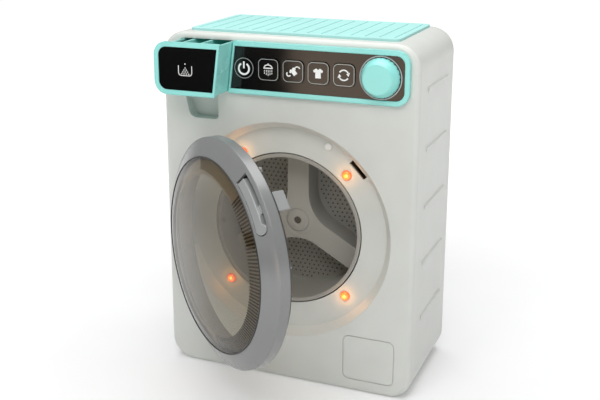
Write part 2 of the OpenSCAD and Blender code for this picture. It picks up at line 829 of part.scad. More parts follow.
// button face, guide flange and stem
module key_cap(k, tint) {
    color(tint) {
        slab(panel_face_y, flange_y - panel_face_y) key_outline(k, 0);
        slab(flange_y, flange_t) key_outline(k, flange_w);
        rod(key_x(k), panel_z, flange_y + flange_t, 2.2, stem_l);
    }
}

module power_button() {
    key_cap(0, BLACK);
}

module rinse_button() {
    key_cap(1, BLACK);
}

module wash_button() {
    key_cap(2, BLACK);
}

module shirt_button() {
    key_cap(3, BLACK);
}

module cycle_button() {
    key_cap(4, BLACK);
}

// rubber sheet on the circuit board with a hollow dome under each button
module dome_sheet() {
    top = stem_end_y + dome_gap;
    color(WHITE) {
        slab(board_y - sheet_t, sheet_t) difference() {
            rounded(key_x(2), panel_z, 4 * key_pitch + sheet_h, sheet_h, 3);
            for (k = [0:4]) translate([key_x(k), panel_z]) circle(dome_foot_r - 0.2);
        }
        for (k = [0:4]) translate([key_x(k), 0, panel_z]) rotate([90, 0, 0]) rotate_extrude()
            polygon([[0, -top], [dome_top_r, -top], [dome_foot_r, -board_y + sheet_t],
                [dome_foot_r + 0.2, -board_y], [dome_foot_r - 0.6, -board_y],
                [dome_top_r - 0.4, -top - 0.7], [0, -top - 0.7]]);
    }
}

module circuit_board() {
    color(GREEN) {
        slab(board_y, board_t) difference() {
            translate([board_left, board_low])
                square([board_right - board_left, board_high - board_low]);
            translate([dial_x, panel_z]) circle(encoder_hole_r);
            for (x = board_hole_x, z = board_hole_z) translate([x, z]) circle(board_screw_r + 0.3);
        }
    }
    // chip, plug and coil
    color(BLACK) {
        slab(board_end_y, chip_t) translate([key_x(2) - chip_h / 4, panel_z - chip_h / 2])
            square([chip_w, chip_h]);
        slab(board_end_y, plug_t) translate([dial_x - 4.3 * plug_w, panel_z - 1.6 * plug_h])
            square([plug_w, plug_h]);
        slab(board_end_y, coil_t) translate([key_x(0) + coil_w, panel_z - coil_w / 2])
            square([coil_w, coil_w]);
    }
}

module board_screws() {
    color(STEEL) for (x = board_hole_x, z = board_hole_z) {
        rod(x, z, board_end_y, board_head_r, board_head_t);
        rod(x, z, board_y - board_t, board_screw_r, 2 * board_t + 0.1);
    }
}

module dial_switch() {
    color(BLACK) difference() {
        union() {
            slab(board_end_y, encoder_t) translate([dial_x - encoder_w / 2, panel_z - encoder_w / 2])
                square([encoder_w, encoder_w]);
            rod(dial_x, panel_z, board_y - 1.5, encoder_hole_r, board_t + 1.6);
        }
        rod(dial_x, panel_z, board_y - 3, dial_shaft_r + run_gap, board_t + 3 + 5);
    }
}

// round shaft with a flat for the knob
module dial_shaft() {
    front = fascia_y - dial_h + 2.4;
    color(STEEL) difference() {
        rod(dial_x, panel_z, front, dial_shaft_r, board_end_y + 4.8 - front);
        slab(front - 1, fascia_y - front + 1) dial_flat();
    }
}

module dial_flat() {
    translate([dial_x - dial_shaft_r, panel_z + 0.55 * dial_shaft_r])
        square([2 * dial_shaft_r, dial_shaft_r]);
}

module dial_knob() {
    y = fascia_y - 0.3;
    f = -y;
    color(MINT) difference() {
        union() {
            translate([dial_x, 0, panel_z]) rotate([90, 0, 0]) rotate_extrude() polygon([
                [0, f + dial_h], [dial_face_r - 0.6, f + dial_h], [dial_face_r, f + dial_h - 0.6],
                [dial_r, f + 1.8], [dial_r, f], [dial_r - 1.8, f], [dial_r - 2.2, f + 1.8],
                [dial_face_r - 2, f + dial_h - 2], [0, f + dial_h - 2]]);
            rod(dial_x, panel_z, y - dial_h + 1.5, dial_shaft_r + 2, dial_h - 1.5);
        }
        difference() {
            rod(dial_x, panel_z, fascia_y - dial_h + 2.4, dial_shaft_r, dial_h + 3);
            slab(fascia_y - dial_h + 1.4, dial_h + 3) dial_flat();
        }
        for (k = [0:dial_flutes - 1]) rotate_dial(360 * k / dial_flutes)
            translate([dial_x + dial_r + 0.25, y + 0.1 - dial_h, panel_z]) rotate([-90, 0, 0])
                cylinder(r = 0.6, h = dial_h + 1);
    }
}

module rotate_dial(a) {
    translate([dial_x, 0, panel_z]) rotate([0, a, 0]) translate([-dial_x, 0, -panel_z]) children();
}

// DETERGENT DRAWER

module pulled() {
    translate([0, -drawer_pull, 0]) children();
}

module drawer_front_outline(inset) {
    panel_outline(-panel_end + inset, panel_split - split_gap - (inset > 0 ? drawer_rim_right : 0),
        panel_low + inset, panel_top - inset, panel_corner - inset, true, false);
}

module detergent_drawer() {
    color(MINT) pulled() difference() {
        union() {
            slab(panel_face_y, panel_out - 0.3) drawer_front_outline(0);
            slab(front_y - 0.4, drawer_l + 0.4) panel_outline(drawer_left, drawer_right,
                drawer_low, drawer_high, drawer_corner, true, false);
        }
        slab(panel_face_y - 1, 2.2) drawer_front_outline(panel_rim);
        slab(front_y + drawer_front_t, drawer_l - drawer_front_t - drawer_t) drawer_hollow();
    }
}

// three compartments, open at the top, seen from the front
module drawer_hollow() {
    left = drawer_left + drawer_corner;
    right = drawer_right - drawer_t;
    top = drawer_high + 1;
    difference() {
        union() {
            panel_outline(drawer_left + drawer_t, right, drawer_low + drawer_t,
                drawer_high - drawer_t, drawer_corner - drawer_t, true, false);
            polygon([[left, panel_z], [right, panel_z], [right + lean(top), top], [left, top]]);
        }
        for (k = [1, 2]) translate([drawer_left + k * (cup_w + drawer_t), drawer_low])
            square([drawer_t, panel_h]);
        translate([drawer_left + cup_w + 2 * drawer_t - 0.1, drawer_low])
            square([cup_w + 0.2, drawer_t + middle_floor]);
    }
}

module drawer_fascia() {
    color(BLACK) pulled() slab(panel_face_y + 0.5, 0.7) drawer_front_outline(panel_rim + 0.1);
}

// way in for the drawer
module mouth_outline(grow) {
    out = drawer_gap + grow;
    panel_outline(drawer_left - out, drawer_right + out, mouth_low - grow, mouth_high + grow,
        drawer_corner + out, true, false);
}

module drawer_bay() {
    color(TEAL) difference() {
        slab(front_y + wall, bay_end_y - front_y - wall) mouth_outline(bay_t);
        slab(front_y + wall - 1, bay_end_y - bay_t - front_y - wall + 1) mouth_outline(0);
    }
}

// DRUM AND TUB

// one pocket between two arms, pointing along the first axis
module pocket_outline(grow) {
    r = pocket_r + grow;
    tangent = [pocket_out - r * sin(60), r * cos(60)];
    far = tangent + drum_in_r * [cos(60), sin(60)];
    out = 2 * drum_in_r;
    translate([pocket_out, 0]) circle(r);
    polygon([tangent, far, [out, far[1]], [out, -far[1]], [far[0], -far[1]],
        [tangent[0], -tangent[1]]]);
}

module pockets(grow) {
    for (a = [-90, 30, 150]) rotate(a) pocket_outline(grow);
}

module drum_slab(y, depth) {
    translate([well_x, y + depth, well_z]) rotate([90, 0, 0]) linear_extrude(depth) children();
}

module drum() {
    color(DRUM) difference() {
        union() {
            about_drum() polygon([[drum_r, -floor_y], [drum_r, -drum_back_y],
                [drum_in_r, -drum_back_y], [drum_in_r, -floor_y - 2.4], [drum_in_r - 1, -floor_y - 1.2],
                [drum_in_r - 1, -floor_y]]);
            drum_slab(drum_floor_y, drum_t) circle(drum_in_r + 0.5);
            drum_slab(arm_y, drum_t) difference() {
                circle(drum_in_r + 0.5);
                pockets(0);
            }
            drum_slab(arm_y + drum_t - 0.5, arm_h - drum_t + 1) intersection() {
                circle(drum_in_r + 0.5);
                difference() {
                    pockets(drum_t);
                    pockets(0);
                }
            }
            drum_slab(arm_y + 1, drum_back_y - arm_y - 1) circle(hub_r);
            about_drum() polygon([[0, -hub_face_y], [5, -hub_face_y], [9, -arm_y + 0.5],
                [9, -arm_y - 0.5], [0, -arm_y - 0.5]]);
        }
        rod(well_x, well_z, arm_y + 3, shaft_r, drum_depth);
        rod(well_x, well_z, hub_face_y - 1, head_r + 0.1, arm_y + 1.2 - hub_face_y + 1);
        rod(well_x, well_z, arm_y, screw_r + 0.1, 4);
    }
}

module drum_screw() {
    color(STEEL) {
        rod(well_x, well_z, arm_y - 0.4, head_r, 1.6);
        rod(well_x, well_z, arm_y + 1, screw_r, 8);
    }
}

module drum_shaft() {
    color(STEEL) difference() {
        rod(well_x, well_z, arm_y + 3, shaft_r, box_cover_end_y - 0.5 - arm_y - 3);
        rod(well_x, well_z, arm_y + 2, screw_r, 8.5);
    }
}

module tub() {
    color(WHITE) difference() {
        union() {
            about_drum() polygon([[tub_in_r, -floor_back_y], [tub_r, -floor_back_y],
                [tub_r, -tub_end_y], [tub_in_r, -tub_end_y]]);
            rod(well_x, well_z, tub_back_y, tub_in_r + 0.5, tub_end_y - tub_back_y);
            for (a = POST_ANGLES) tub_ear(a);
        }
        rod(well_x, well_z, tub_back_y - 1, bush_r, 4);
        for (a = POST_ANGLES)
            rod_on_ring(post_ring_r, a, floor_back_y + post_l - 1, screw_r + 0.25, ear_t + 2);
        for (p = box_screw_places()) rod(p[0], p[1], tub_back_y - 1, screw_r, 4);
    }
}

module tub_ear(a) {
    slab(floor_back_y + post_l, ear_t) translate([well_x, well_z]) rotate(a) {
        translate([tub_r - 0.6, -post_r]) square([post_ring_r - tub_r + 0.6, 2 * post_r]);
        translate([post_ring_r, 0]) circle(post_r);
    }
}

module tub_screws() {
    color(STEEL) for (a = POST_ANGLES) {
        rod_on_ring(post_ring_r, a, floor_back_y + post_l + ear_t, head_r, head_t);
        rod_on_ring(post_ring_r, a, floor_back_y + 3, screw_r, post_l + ear_t - 2.9);
    }
}

// DRIVE

function box_screw_places() = [[box_left + 3.6, box_low + 3.6], [box_right - 3.6, box_low + 3.6],
    [box_left + 3.6, box_high - 3.6], [box_right - 3.6, box_high - 3.6]];

module gear(c, y, depth, n, turn) {
    translate([c[0], y + depth, c[1]]) rotate([90, 0, 0]) linear_extrude(depth)
        polygon(gear_points(n, turn));
}

module gearbox_housing() {
    color(WHITE) difference() {
        union() {
            slab(box_y, box_end_y - box_y) difference() {
                translate([box_left, box_low]) square([box_right - box_left, box_high - box_low]);
                translate([box_left + box_t, box_low + box_t])
                    square([box_right - box_left - 2 * box_t, box_high - box_low - 2 * box_t]);
            }
            slab(box_y, box_t) translate([box_left, box_low])
                square([box_right - box_left, box_high - box_low]);
            for (p = box_screw_places()) rod(p[0], p[1], box_y, 3.4, box_end_y - box_y);
            for (c = [first_c, second_c]) rod(c[0], c[1], box_y + 1, 3, layer_y - 0.3 - box_y - 1);
        }
        rod(well_x, well_z, box_y - 1, bush_r, 5);
        for (c = [first_c, second_c]) rod(c[0], c[1], box_y + 1, axle_r, 10);
        for (p = box_screw_places()) {
            rod(p[0], p[1], box_y - 1, screw_r + 0.1, box_end_y - box_y + 2);
        }
    }
}

module motor_outline(grow) {
    translate(motor_c) intersection() {
        circle(motor_h / 2 + grow);
        square([motor_w + 2 * grow, motor_h + 2 * grow + 2], center = true);
    }
}

module gearbox_cover() {
    color(WHITE) difference() {
        union() {
            slab(box_end_y, box_t) translate([box_left, box_low])
                square([box_right - box_left, box_high - box_low]);
            slab(cup_y, box_end_y - cup_y + 1) motor_outline(cup_gap + cup_t);
            for (c = [first_c, second_c])
                rod(c[0], c[1], c == first_c ? second_y + second_t + 1.5 : drum_gear_y + drum_gear_t + 1.5,
                    2.6, c == first_c ? box_end_y - second_y - second_t - 1 : 1.5);
        }
        slab(motor_y, box_cover_end_y - motor_y + 1) motor_outline(cup_gap);
        rod(motor_c[0], motor_c[1], cup_y - 1, 3.1, cup_t + 2);
        rod(well_x, well_z, box_end_y - 1, shaft_r + run_gap, box_t + 2);
        for (c = [first_c, second_c]) rod(c[0], c[1], second_y, axle_r, box_end_y + 1 - second_y);
        for (p = box_screw_places()) rod(p[0], p[1], box_end_y - 1, screw_r + 0.2, box_t + 2);
    }
}

module gearbox_screws() {
    color(STEEL) for (p = box_screw_places()) {
        rod(p[0], p[1], box_cover_end_y, head_r, head_t);
        rod(p[0], p[1], tub_back_y + 0.2, screw_r, box_cover_end_y - tub_back_y - 0.1);
    }
}

module gear_axles() {
    color(STEEL) for (c = [first_c, second_c])
        rod(c[0], c[1], box_y + 1, axle_r, box_end_y + 1 - box_y - 1);
}

module shaft_bushing() {
    color(BRASS) sleeve(well_x, well_z, tub_back_y, bush_r, shaft_r + run_gap,
        box_y + box_t - tub_back_y);
}

module motor() {
    color(STEEL) {
        difference() {
            union() {
                slab(motor_y, motor_l) motor_outline(0);
                rod(motor_c[0], motor_c[1], cup_y, 3, cup_t + 0.5);
                rod(motor_c[0], motor_c[1], motor_y + motor_l - 0.1, 4, 1.6);
            }
            rod(motor_c[0], motor_c[1], cup_y - 1, motor_shaft_r + run_gap, cup_t + 14);
        }
    }
    color(BRASS) for (s = [-1, 1])
        translate([motor_c[0] + s * 4 - 1, motor_y + motor_l - 0.1, motor_c[1] - 8])
            cube([2, motor_tab_l, 0.6]);
}

module motor_pinion() {
    color(WHITE) difference() {
        union() {
            gear(motor_c, layer_y, layer_t, small_teeth, pinion_turn);
            rod(motor_c[0], motor_c[1], layer_y - 1.4, 2.4, 1.5);
        }
        rod(motor_c[0], motor_c[1], layer_y, motor_shaft_r, layer_t + 1);
    }
    color(STEEL) rod(motor_c[0], motor_c[1], layer_y, motor_shaft_r, motor_y + 11 - layer_y);
}

module idler(c, wheel_y, wheel_t, end_y, wheel_turn, small_turn) {
    color(WHITE) difference() {
        union() {
            gear(c, wheel_y, wheel_t, wheel_teeth, wheel_turn);
            gear(c, wheel_y + wheel_t - 0.3, end_y - wheel_y - wheel_t + 0.3, small_teeth, small_turn);
            rod(c[0], c[1], wheel_y - 0.2, 2.6, end_y - wheel_y + 0.2);
        }
        rod(c[0], c[1], wheel_y - 1, axle_r + run_gap, end_y - wheel_y + 2);
    }
}

module first_gear() {
    idler(first_c, layer_y, layer_t, second_y + second_t + 0.5, first_wheel_turn, first_small_turn);
}

module second_gear() {
    idler(second_c, second_y, second_t, drum_gear_y + drum_gear_t + 0.5, second_wheel_turn,
        second_small_turn);
}

module drum_gear() {
    color(WHITE) difference() {
        union() {
            gear([well_x, well_z], drum_gear_y, drum_gear_t, drum_teeth, drum_turn);
            rod(well_x, well_z, drum_gear_y - gear_hub_l, gear_hub_r, drum_gear_t + gear_hub_l + 1);
        }
        rod(well_x, well_z, drum_gear_y - gear_hub_l - 1, shaft_r, drum_gear_t + gear_hub_l + 3);
    }
}

// SIGNAL LIGHTS AND DOOR SWITCH

// lens with a flange behind the well floor
module led_lens(a) {
    c = on_ring(led_ring_r, a);
    top = -floor_y + led_out;
    color(AMBER) translate([c[0], 0, c[1]]) rotate([90, 0, 0]) rotate_extrude() {
        polygon([[0, -floor_back_y - 4], [led_r, -floor_back_y - 4],
            [led_r, -floor_y], [led_r * 0.92, -floor_y + led_out * 0.45],
            [led_r * 0.72, -floor_y + led_out * 0.75], [led_r * 0.4, top - led_out * 0.06], [0, top]]);
        translate([0, -floor_back_y - 1.2]) square([led_r + led_flange, 1.2]);
    }
}

module led_upper_right() {
    led_lens(LED_ANGLES[0]);
}

module led_lower_right() {
    led_lens(LED_ANGLES[1]);
}

module led_upper_left() {
    led_lens(LED_ANGLES[2]);
}

module led_lower_left() {
    led_lens(LED_ANGLES[3]);
}

module door_switch_button() {
    c = on_ring(switch_ring_r, switch_angle);
    front = -floor_y + switch_out;
    back = -floor_back_y;
    color(WHITE) translate([c[0], 0, c[1]]) rotate([90, 0, 0]) rotate_extrude() polygon([
        [0, front], [switch_r * 0.7, front - 0.2], [switch_r, front - 0.8], [switch_r, back - 0.2],
        [switch_r + 0.9, back - 0.2], [switch_r + 0.9, back - 1.2], [1.1, back - 1.2],
        [1.1, back - 3.2], [0, back - 3.2]]);
}

// rubber dome that pushes the door switch button out
module door_switch_dome() {
    c = on_ring(switch_ring_r, switch_angle);
    top = -floor_back_y - 4.3;
    foot = -floor_back_y - switch_pit;
    color(WHITE) translate([c[0], 0, c[1]]) rotate([90, 0, 0]) rotate_extrude() polygon([
        [0, top], [1.4, top], [2.2, foot + 0.4], [switch_r + 1, foot + 0.4], [switch_r + 1, foot],
        [1.8, foot], [1.2, top - 0.4], [0, top - 0.4]]);
}

module door_switch_body() {
    c = on_ring(switch_ring_r, switch_angle);
    color(BLACK) difference() {
        slab(floor_back_y, switch_pit + 2) translate([c[0] - 5.2, c[1] - 5.2]) square([10.4, 10.4]);
        rod(c[0], c[1], floor_back_y - 1, switch_r + 1.2, switch_pit + 1);
    }
}

// DOOR

module opened() {
    translate([hinge_x, hinge_y, 0]) rotate([0, 0, -door_open]) translate([-hinge_x, -hinge_y, 0])
        children();
}

// a sector of a circle about the drum axis, seen from the front
module sector(r, low, high) {
    polygon([[0, 0], for (a = [low, (low + high) / 2, high]) 2 * r * [cos(a), sin(a)]]);
}

module door_ring() {
    e = -ring_edge_y;
    color(DOOR) opened() difference() {
        union() {
            about_drum() polygon([[ring_in_r, -ring_back_y], [ring_r, -ring_back_y], [ring_r, e],
                [ring_edge_r, e + 0.8], [window_r, -window_y], [window_r, -ring_inner_y],
                [ring_in_r, e - 1.4]]);
            for (a = DOOR_SCREW_ANGLES)
                rod_on_ring(door_screw_ring_r, a, door_post_y, door_post_r, door_post_end_y - door_post_y);
        }
        grip_cut();
        for (a = DOOR_SCREW_ANGLES)
            rod_on_ring(door_screw_ring_r, a, door_screw_y, door_screw_r, door_back_y - door_screw_y);
    }
}

// way through the ring for the handle bar and the finger
module grip_cut() {
    slab(window_y - 1, 12) translate([well_x, well_z]) difference() {
        intersection() {
            circle(grip_out_r);
            sector(grip_out_r, grip_low, grip_high);
        }
        circle(grip_in_r);
    }
    rod_on_ring(grip_in_r + grip_end_r, grip_low, window_y - 1, grip_end_r, 12);
}

module door_liner() {
    b = -door_back_y;
    s = -liner_step_y;
    color(LINER) opened() difference() {
        union() {
            about_drum() polygon([[liner_lip_r, -ring_back_y + 2.4], [liner_lip_r, -ring_back_y],
                [liner_back_r, b], [liner_step_r, b], [liner_step_r, s], [liner_bore_r, s],
                [liner_bore_r, -window_back_y - window_flange_t],
                [liner_bore_r + liner_t, -window_back_y - window_flange_t],
                [liner_bore_r + liner_t, s + liner_t], [liner_step_r + liner_t, s + liner_t],
                [liner_step_r + liner_t, b + liner_t],
                [liner_back_r - liner_t, b + liner_t], [liner_lip_r - liner_t, -ring_back_y + 2.4]]);
            // arm and knuckle of the hinge
            translate([hinge_x, 0, well_z - knuckle_l / 2]) {
                translate([0, hinge_y, 0]) cylinder(r = knuckle_r, h = knuckle_l);
                translate([0, hinge_y + 0.4, 0]) cube([12, knuckle_r - 0.4, knuckle_l]);
            }
            for (a = DOOR_SCREW_ANGLES) rod_on_ring(door_screw_ring_r, a, door_post_end_y,
                door_post_r, door_back_y - 1 - door_post_end_y);
            // peg that presses the door switch
            rod_on_ring(switch_ring_r, switch_angle, door_back_y - 1, presser_r,
                floor_y - switch_out - presser_gap - door_back_y + 1);
            // lugs that hold the lever pin
            at_handle() for (s = [-1, 1])
                translate([lever_r - 2.4, lever_y - 2.6, s * (latch_w + lug_t + 2 * lug_gap) / 2 - lug_t / 2])
                    cube([4.8, door_back_y - 1 - lever_y + 2.6, lug_t]);
        }
        translate([hinge_x, hinge_y, well_z - knuckle_l / 2 - 1])
            cylinder(r = hinge_pin_r + run_gap, h = knuckle_l + 2);
        at_handle() {
            translate([lever_r - latch_t / 2 - 1, liner_step_y - 4, -latch_w / 2 - 0.4])
                cube([latch_t + 1.7, 12, latch_w + 0.8]);
            translate([lever_r, lever_y, -latch_w]) cylinder(r = lever_pin_r, h = 2 * latch_w);
        }
        for (a = DOOR_SCREW_ANGLES) rod_on_ring(door_screw_ring_r, a, door_post_end_y - 1,
            door_screw_r + 0.2, door_back_y - door_post_end_y + 2);
    }
}

// places the children at the handle, with the first axis pointing outwards from the drum axis
module at_handle() {
    translate([well_x, 0, well_z]) rotate([0, -handle_angle, 0]) children();
}

module door_window() {
    w = -window_y;
    top = w + window_rise;
    r = window_r - 0.2;
    color(SMOKE) opened() about_drum() polygon([[0, top], [window_flat_r, top], [r, w],
        [r, -window_back_y - 0.2], [window_flange_r, -window_back_y - 0.2],
        [window_flange_r, -window_back_y - window_flange_t],
        [liner_bore_r + 0.2, -window_back_y - window_flange_t],
        [liner_bore_r + 0.2, w - window_t], [window_flat_r - 1, top - window_t], [0, top - window_t]]);
}

module door_screws() {
    color(STEEL) opened() for (a = DOOR_SCREW_ANGLES) {
        rod_on_ring(door_screw_ring_r, a, door_back_y, door_post_r, 0.9);
        rod_on_ring(door_screw_ring_r, a, door_screw_y, door_screw_r, door_back_y + 0.1 - door_screw_y);
    }
}

module lever_pin() {
    l = latch_w + 2 * (lug_gap + lug_t);
    color(STEEL) opened() at_handle() translate([lever_r, lever_y, -l / 2])
        cylinder(r = lever_pin_r, h = l);
}

// curved bar with a round pad at its lower end
module bar_outline() {
    difference() {
        intersection() {
            circle(bar_out_r);
            sector(bar_out_r, grip_low, grip_high - 1.5);
        }
        circle(bar_in_r);
    }
    translate((grip_in_r + pad_play + pad_r) * [cos(grip_low), sin(grip_low)]) circle(pad_r);
}

module door_handle() {
    color(DOOR) opened() difference() {
        union() {
            // bar, flush with the sloping face of the ring
            intersection() {
                about_drum() polygon([
                    for (r = [bar_in_r - 1, grip_out_r]) [r, -window_y - (r - window_r) * ring_slope],
                    [grip_out_r, -bar_back_y], [bar_in_r - 1, -bar_back_y]]);
                slab(window_y - 2, 14) translate([well_x, well_z]) bar_outline();
            }
            at_handle() {
                translate([lever_r - latch_t / 2, bar_back_y - 0.6, -latch_w / 2])
                    cube([latch_t, latch_end_y - bar_back_y + 0.6, latch_w]);
                translate([lever_r, lever_y, -latch_w / 2]) cylinder(r = lever_boss_r, h = latch_w);
                // bridge across the finger gap
                translate([bar_out_r - 1, bar_back_y - 2.2, -7.5]) cube([grip_w - 0.2, 2, 6]);
            }
        }
        at_handle() translate([lever_r, lever_y, -latch_w])
            cylinder(r = lever_pin_r + run_gap, h = 2 * latch_w);
    }
}

// bent leaf behind the latch arm, which keeps the latch pushed outwards
module handle_spring() {
    foot_r = liner_step_r + liner_t;
    foot_y = door_back_y - liner_t;
    tip_r = lever_r - latch_t / 2 - 0.3;
    color(STEEL) opened() at_handle() translate([0, 0, -2.5]) linear_extrude(5) polygon([
        [foot_r, foot_y], [foot_r + 0.4, foot_y], [foot_r + 0.4, foot_y - 0.8],
        [tip_r, lever_y + lever_boss_r + 0.3], [tip_r - 0.4, lever_y + lever_boss_r + 0.1],
        [foot_r, foot_y - 1]]);
}

// two lugs on a plate that is staked to the floor of the recess
module hinge_bracket() {
    color(STEEL) difference() {
        union() {
            for (s = [-1, 1]) translate([0, 0, well_z + s * lug_z]) {
                translate([hinge_x, hinge_y, -2]) cylinder(r = knuckle_r, h = 4);
                translate([hinge_x - knuckle_r, hinge_y, -2])
                    cube([2 * knuckle_r, floor_y - hinge_y, 4]);
            }
            translate([hinge_x - knuckle_r, floor_y - 1.2, well_z - lug_z - 2])
                cube([2 * knuckle_r, 1.2, 2 * lug_z + 4]);
            for (s = [-1, 1]) {
                rod(hinge_x, well_z + s * lug_z, floor_y - 0.5, stake_r, wall + 1.3);
                rod(hinge_x, well_z + s * lug_z, floor_back_y, stake_r + 1, 0.8);
            }
        }
        translate([hinge_x, hinge_y, well_z - knuckle_l]) cylinder(r = hinge_pin_r, h = 2 * knuckle_l);
    }
}

module hinge_pin() {
    color(STEEL) translate([hinge_x, hinge_y, well_z - lug_z - 2])
        cylinder(r = hinge_pin_r, h = 2 * lug_z + 4);
}

// SPEAKER, BATTERIES AND SCREWS

module speaker() {
    y = -inner_back_y;
    rim = speaker_rim_t;
    color(BLACK) translate([speaker_x, 0, speaker_z]) rotate([90, 0, 0]) rotate_extrude() polygon([
        [0, y + rim], [speaker_r / 3, y + rim], [speaker_r - 2, y + 0.2], [speaker_r - 2, y],
        [speaker_r, y], [speaker_r, y + rim], [speaker_r - 3, y + 2 * rim],
        [magnet_r, y + 0.7 * magnet_l], [magnet_r, y + magnet_l], [0, y + magnet_l]]);
}

module battery_box() {
    depth = inner_back_y - bat_y;
    color(CABINET) difference() {
        slab(bat_y, depth)
            translate([-bat_in_w / 2 - bat_wall, bat_low])
                square([bat_in_w + 2 * bat_wall, bat_high - bat_low]);
        slab(bat_y + bat_wall, depth) translate([-bat_in_w / 2, bat_low + bat_wall])
            square([bat_in_w, bat_high - bat_low - 2 * bat_wall]);
    }
}

module battery_cells() {
    y = inner_back_y - cell_r - cell_gap;
    for (k = [0:2]) {
        side = k % 2 == 0 ? 1 : -1;
        translate([side * -0.5, y, cell_z + k * cell_pitch]) rotate([0, 90, 0]) {
            color(CELL) cylinder(r = cell_r, h = cell_l, center = true);
            color(STEEL) translate([0, 0, side * (cell_l / 2 + 0.4)])
                cylinder(r = 2.7, h = 1.2, center = true);
        }
    }
}

// end plates and coil springs of the cells
module battery_contacts() {
    y = inner_back_y - cell_r - cell_gap;
    color(STEEL) for (k = [0:2], s = [-1, 1]) {
        side = k % 2 == 0 ? 1 : -1;
        plate_x = s * (bat_in_w - contact_t) / 2;
        translate([plate_x, y, cell_z + k * cell_pitch])
            cube([contact_t, contact_w, contact_w], center = true);
        if (s == -side)
            translate([plate_x, y, cell_z + k * cell_pitch]) rotate([0, -90 * s, 0])
                cylinder(r1 = coil_foot_r, r2 = coil_top_r, h = abs(plate_x) - cell_l / 2 - 0.5);
        else
            translate([plate_x, y, cell_z + k * cell_pitch]) rotate([0, -90 * s, 0])
                cylinder(r = stud_r, h = abs(plate_x) - cell_l / 2 - 1.5);
    }
}

module battery_cover() {
    color(CABINET) difference() {
        union() {
            slab(inner_back_y, wall)
                rounded(0, bat_mid, bat_in_w - 2 * hatch_gap, hatch_h, hatch_corner - hatch_gap);
            slab(back_y, 0.5) for (k = [-2:2])
                translate([-hatch_rib_l / 2, bat_mid + k * hatch_rib_pitch - hatch_rib_w / 2])
                    square([hatch_rib_l, hatch_rib_w]);
        }
        rod(0, hatch_screw_z, inner_back_y - 1, screw_r + 0.2, wall + 3);
    }
}

module battery_cover_screw() {
    color(STEEL) {
        rod(0, hatch_screw_z, back_y, head_r, hatch_head_t);
        rod(0, hatch_screw_z, inner_back_y - 0.2, screw_r, wall + 0.3);
    }
}

module casing_screws() {
    color(STEEL) for (side = [-1, 1], z = boss_zs) {
        rod(side * boss_x, z, back_y - screw_sunk, head_r, head_t + 0.2);
        rod(side * boss_x, z, cover_y - screw_bite, screw_r,
            back_y - screw_sunk - cover_y + screw_bite + 0.1);
    }
}

front_casing();
rear_cover();
top_plate();
panel_frame();
panel_fascia();
dial_ring();
drawer_bay();
tub();
circuit_board();
board_screws();
dial_switch();
dome_sheet();
speaker();
battery_box();
battery_cells();
battery_contacts();
battery_cover();
battery_cover_screw();
motor();
gearbox_housing();
gearbox_cover();
gear_axles();
shaft_bushing();
led_upper_right();
led_lower_right();
led_upper_left();
led_lower_left();
door_switch_body();
door_switch_dome();
hinge_bracket();
hinge_pin();
casing_screws();
gearbox_screws();
tub_screws();
door_ring();
door_liner();
door_window();
door_screws();
lever_pin();
door_handle();
handle_spring();
detergent_drawer();
drawer_fascia();
power_button();
rinse_button();
wash_button();
shirt_button();
cycle_button();
dial_knob();
dial_shaft();
drum();
drum_shaft();
drum_gear();
drum_screw();
motor_pinion();
first_gear();
second_gear();
door_switch_button();
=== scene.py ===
from math import ceil, cos, hypot, pi, radians, sin

import bmesh
import bpy
from mathutils import Matrix, Quaternion, Vector


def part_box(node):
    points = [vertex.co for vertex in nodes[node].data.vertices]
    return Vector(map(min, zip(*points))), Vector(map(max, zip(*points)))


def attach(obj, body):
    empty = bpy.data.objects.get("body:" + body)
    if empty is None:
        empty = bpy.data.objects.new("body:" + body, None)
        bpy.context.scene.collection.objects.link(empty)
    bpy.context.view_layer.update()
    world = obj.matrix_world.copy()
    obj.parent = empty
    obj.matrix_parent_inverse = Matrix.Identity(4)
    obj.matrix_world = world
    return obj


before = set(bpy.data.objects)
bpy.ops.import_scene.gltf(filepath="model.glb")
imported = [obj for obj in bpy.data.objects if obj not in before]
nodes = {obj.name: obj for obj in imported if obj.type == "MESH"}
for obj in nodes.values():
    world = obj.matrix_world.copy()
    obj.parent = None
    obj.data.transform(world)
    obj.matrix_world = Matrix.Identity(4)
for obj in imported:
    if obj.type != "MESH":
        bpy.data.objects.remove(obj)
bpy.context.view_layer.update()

MM = 0.001

# places and sizes of the CAD model that the added pieces line up with, in millimetres
PANEL_FACE_Y = -52.0
PANEL_Z = 243.6
FIRST_KEY_X = -31.0
KEY_PITCH = 19.2
KEY_HALF = 8.2
KEY_CORNER = 4.0
POWER_R = 7.9
TRAY_SIGN_X = -68.0
WELL_X, WELL_Z = -2.0, 120.5
HINGE_X, HINGE_Y = -88.8, -49.0
DOOR_OPEN = radians(-37.0)
DRAWER_PULL = 21.5
DRAWER_SIGN_Y = PANEL_FACE_Y + 0.5
WINDOW_EDGE_Y = -64.4
WINDOW_R = 70.2
# ends of the slope behind the window and of the door's back edge, as (radius, y)
SLOPE_OUT, SLOPE_IN = (68.0, -62.66), (58.0, -65.93)
SEAL_FRONT, SEAL_BACK = (81.7, -49.45), (79.5, -46.3)
DRUM_IN_R = 56.8
DRUM_FLOOR_Y = 2.0
ARM_Y = -18.5
POCKET_R, POCKET_OUT = 31.0, 46.0
WELL_FLOOR_Y = -41.0
LED_RING_R = 66.8
LED_ANGLES = (45, -45, 122.5, 225)
LENS_H = 1.6

# the camera's turn about the upright axis, in degrees; the mirrored cards turn as far back
CAMERA_YAW = 22.78

# edges that bend by more than these angles are left sharp, or rounded where a width is given
SHARP_ANGLE = radians(32)
ROUNDED_ANGLE = radians(38)


# ---------------------------------------------------------------- materials

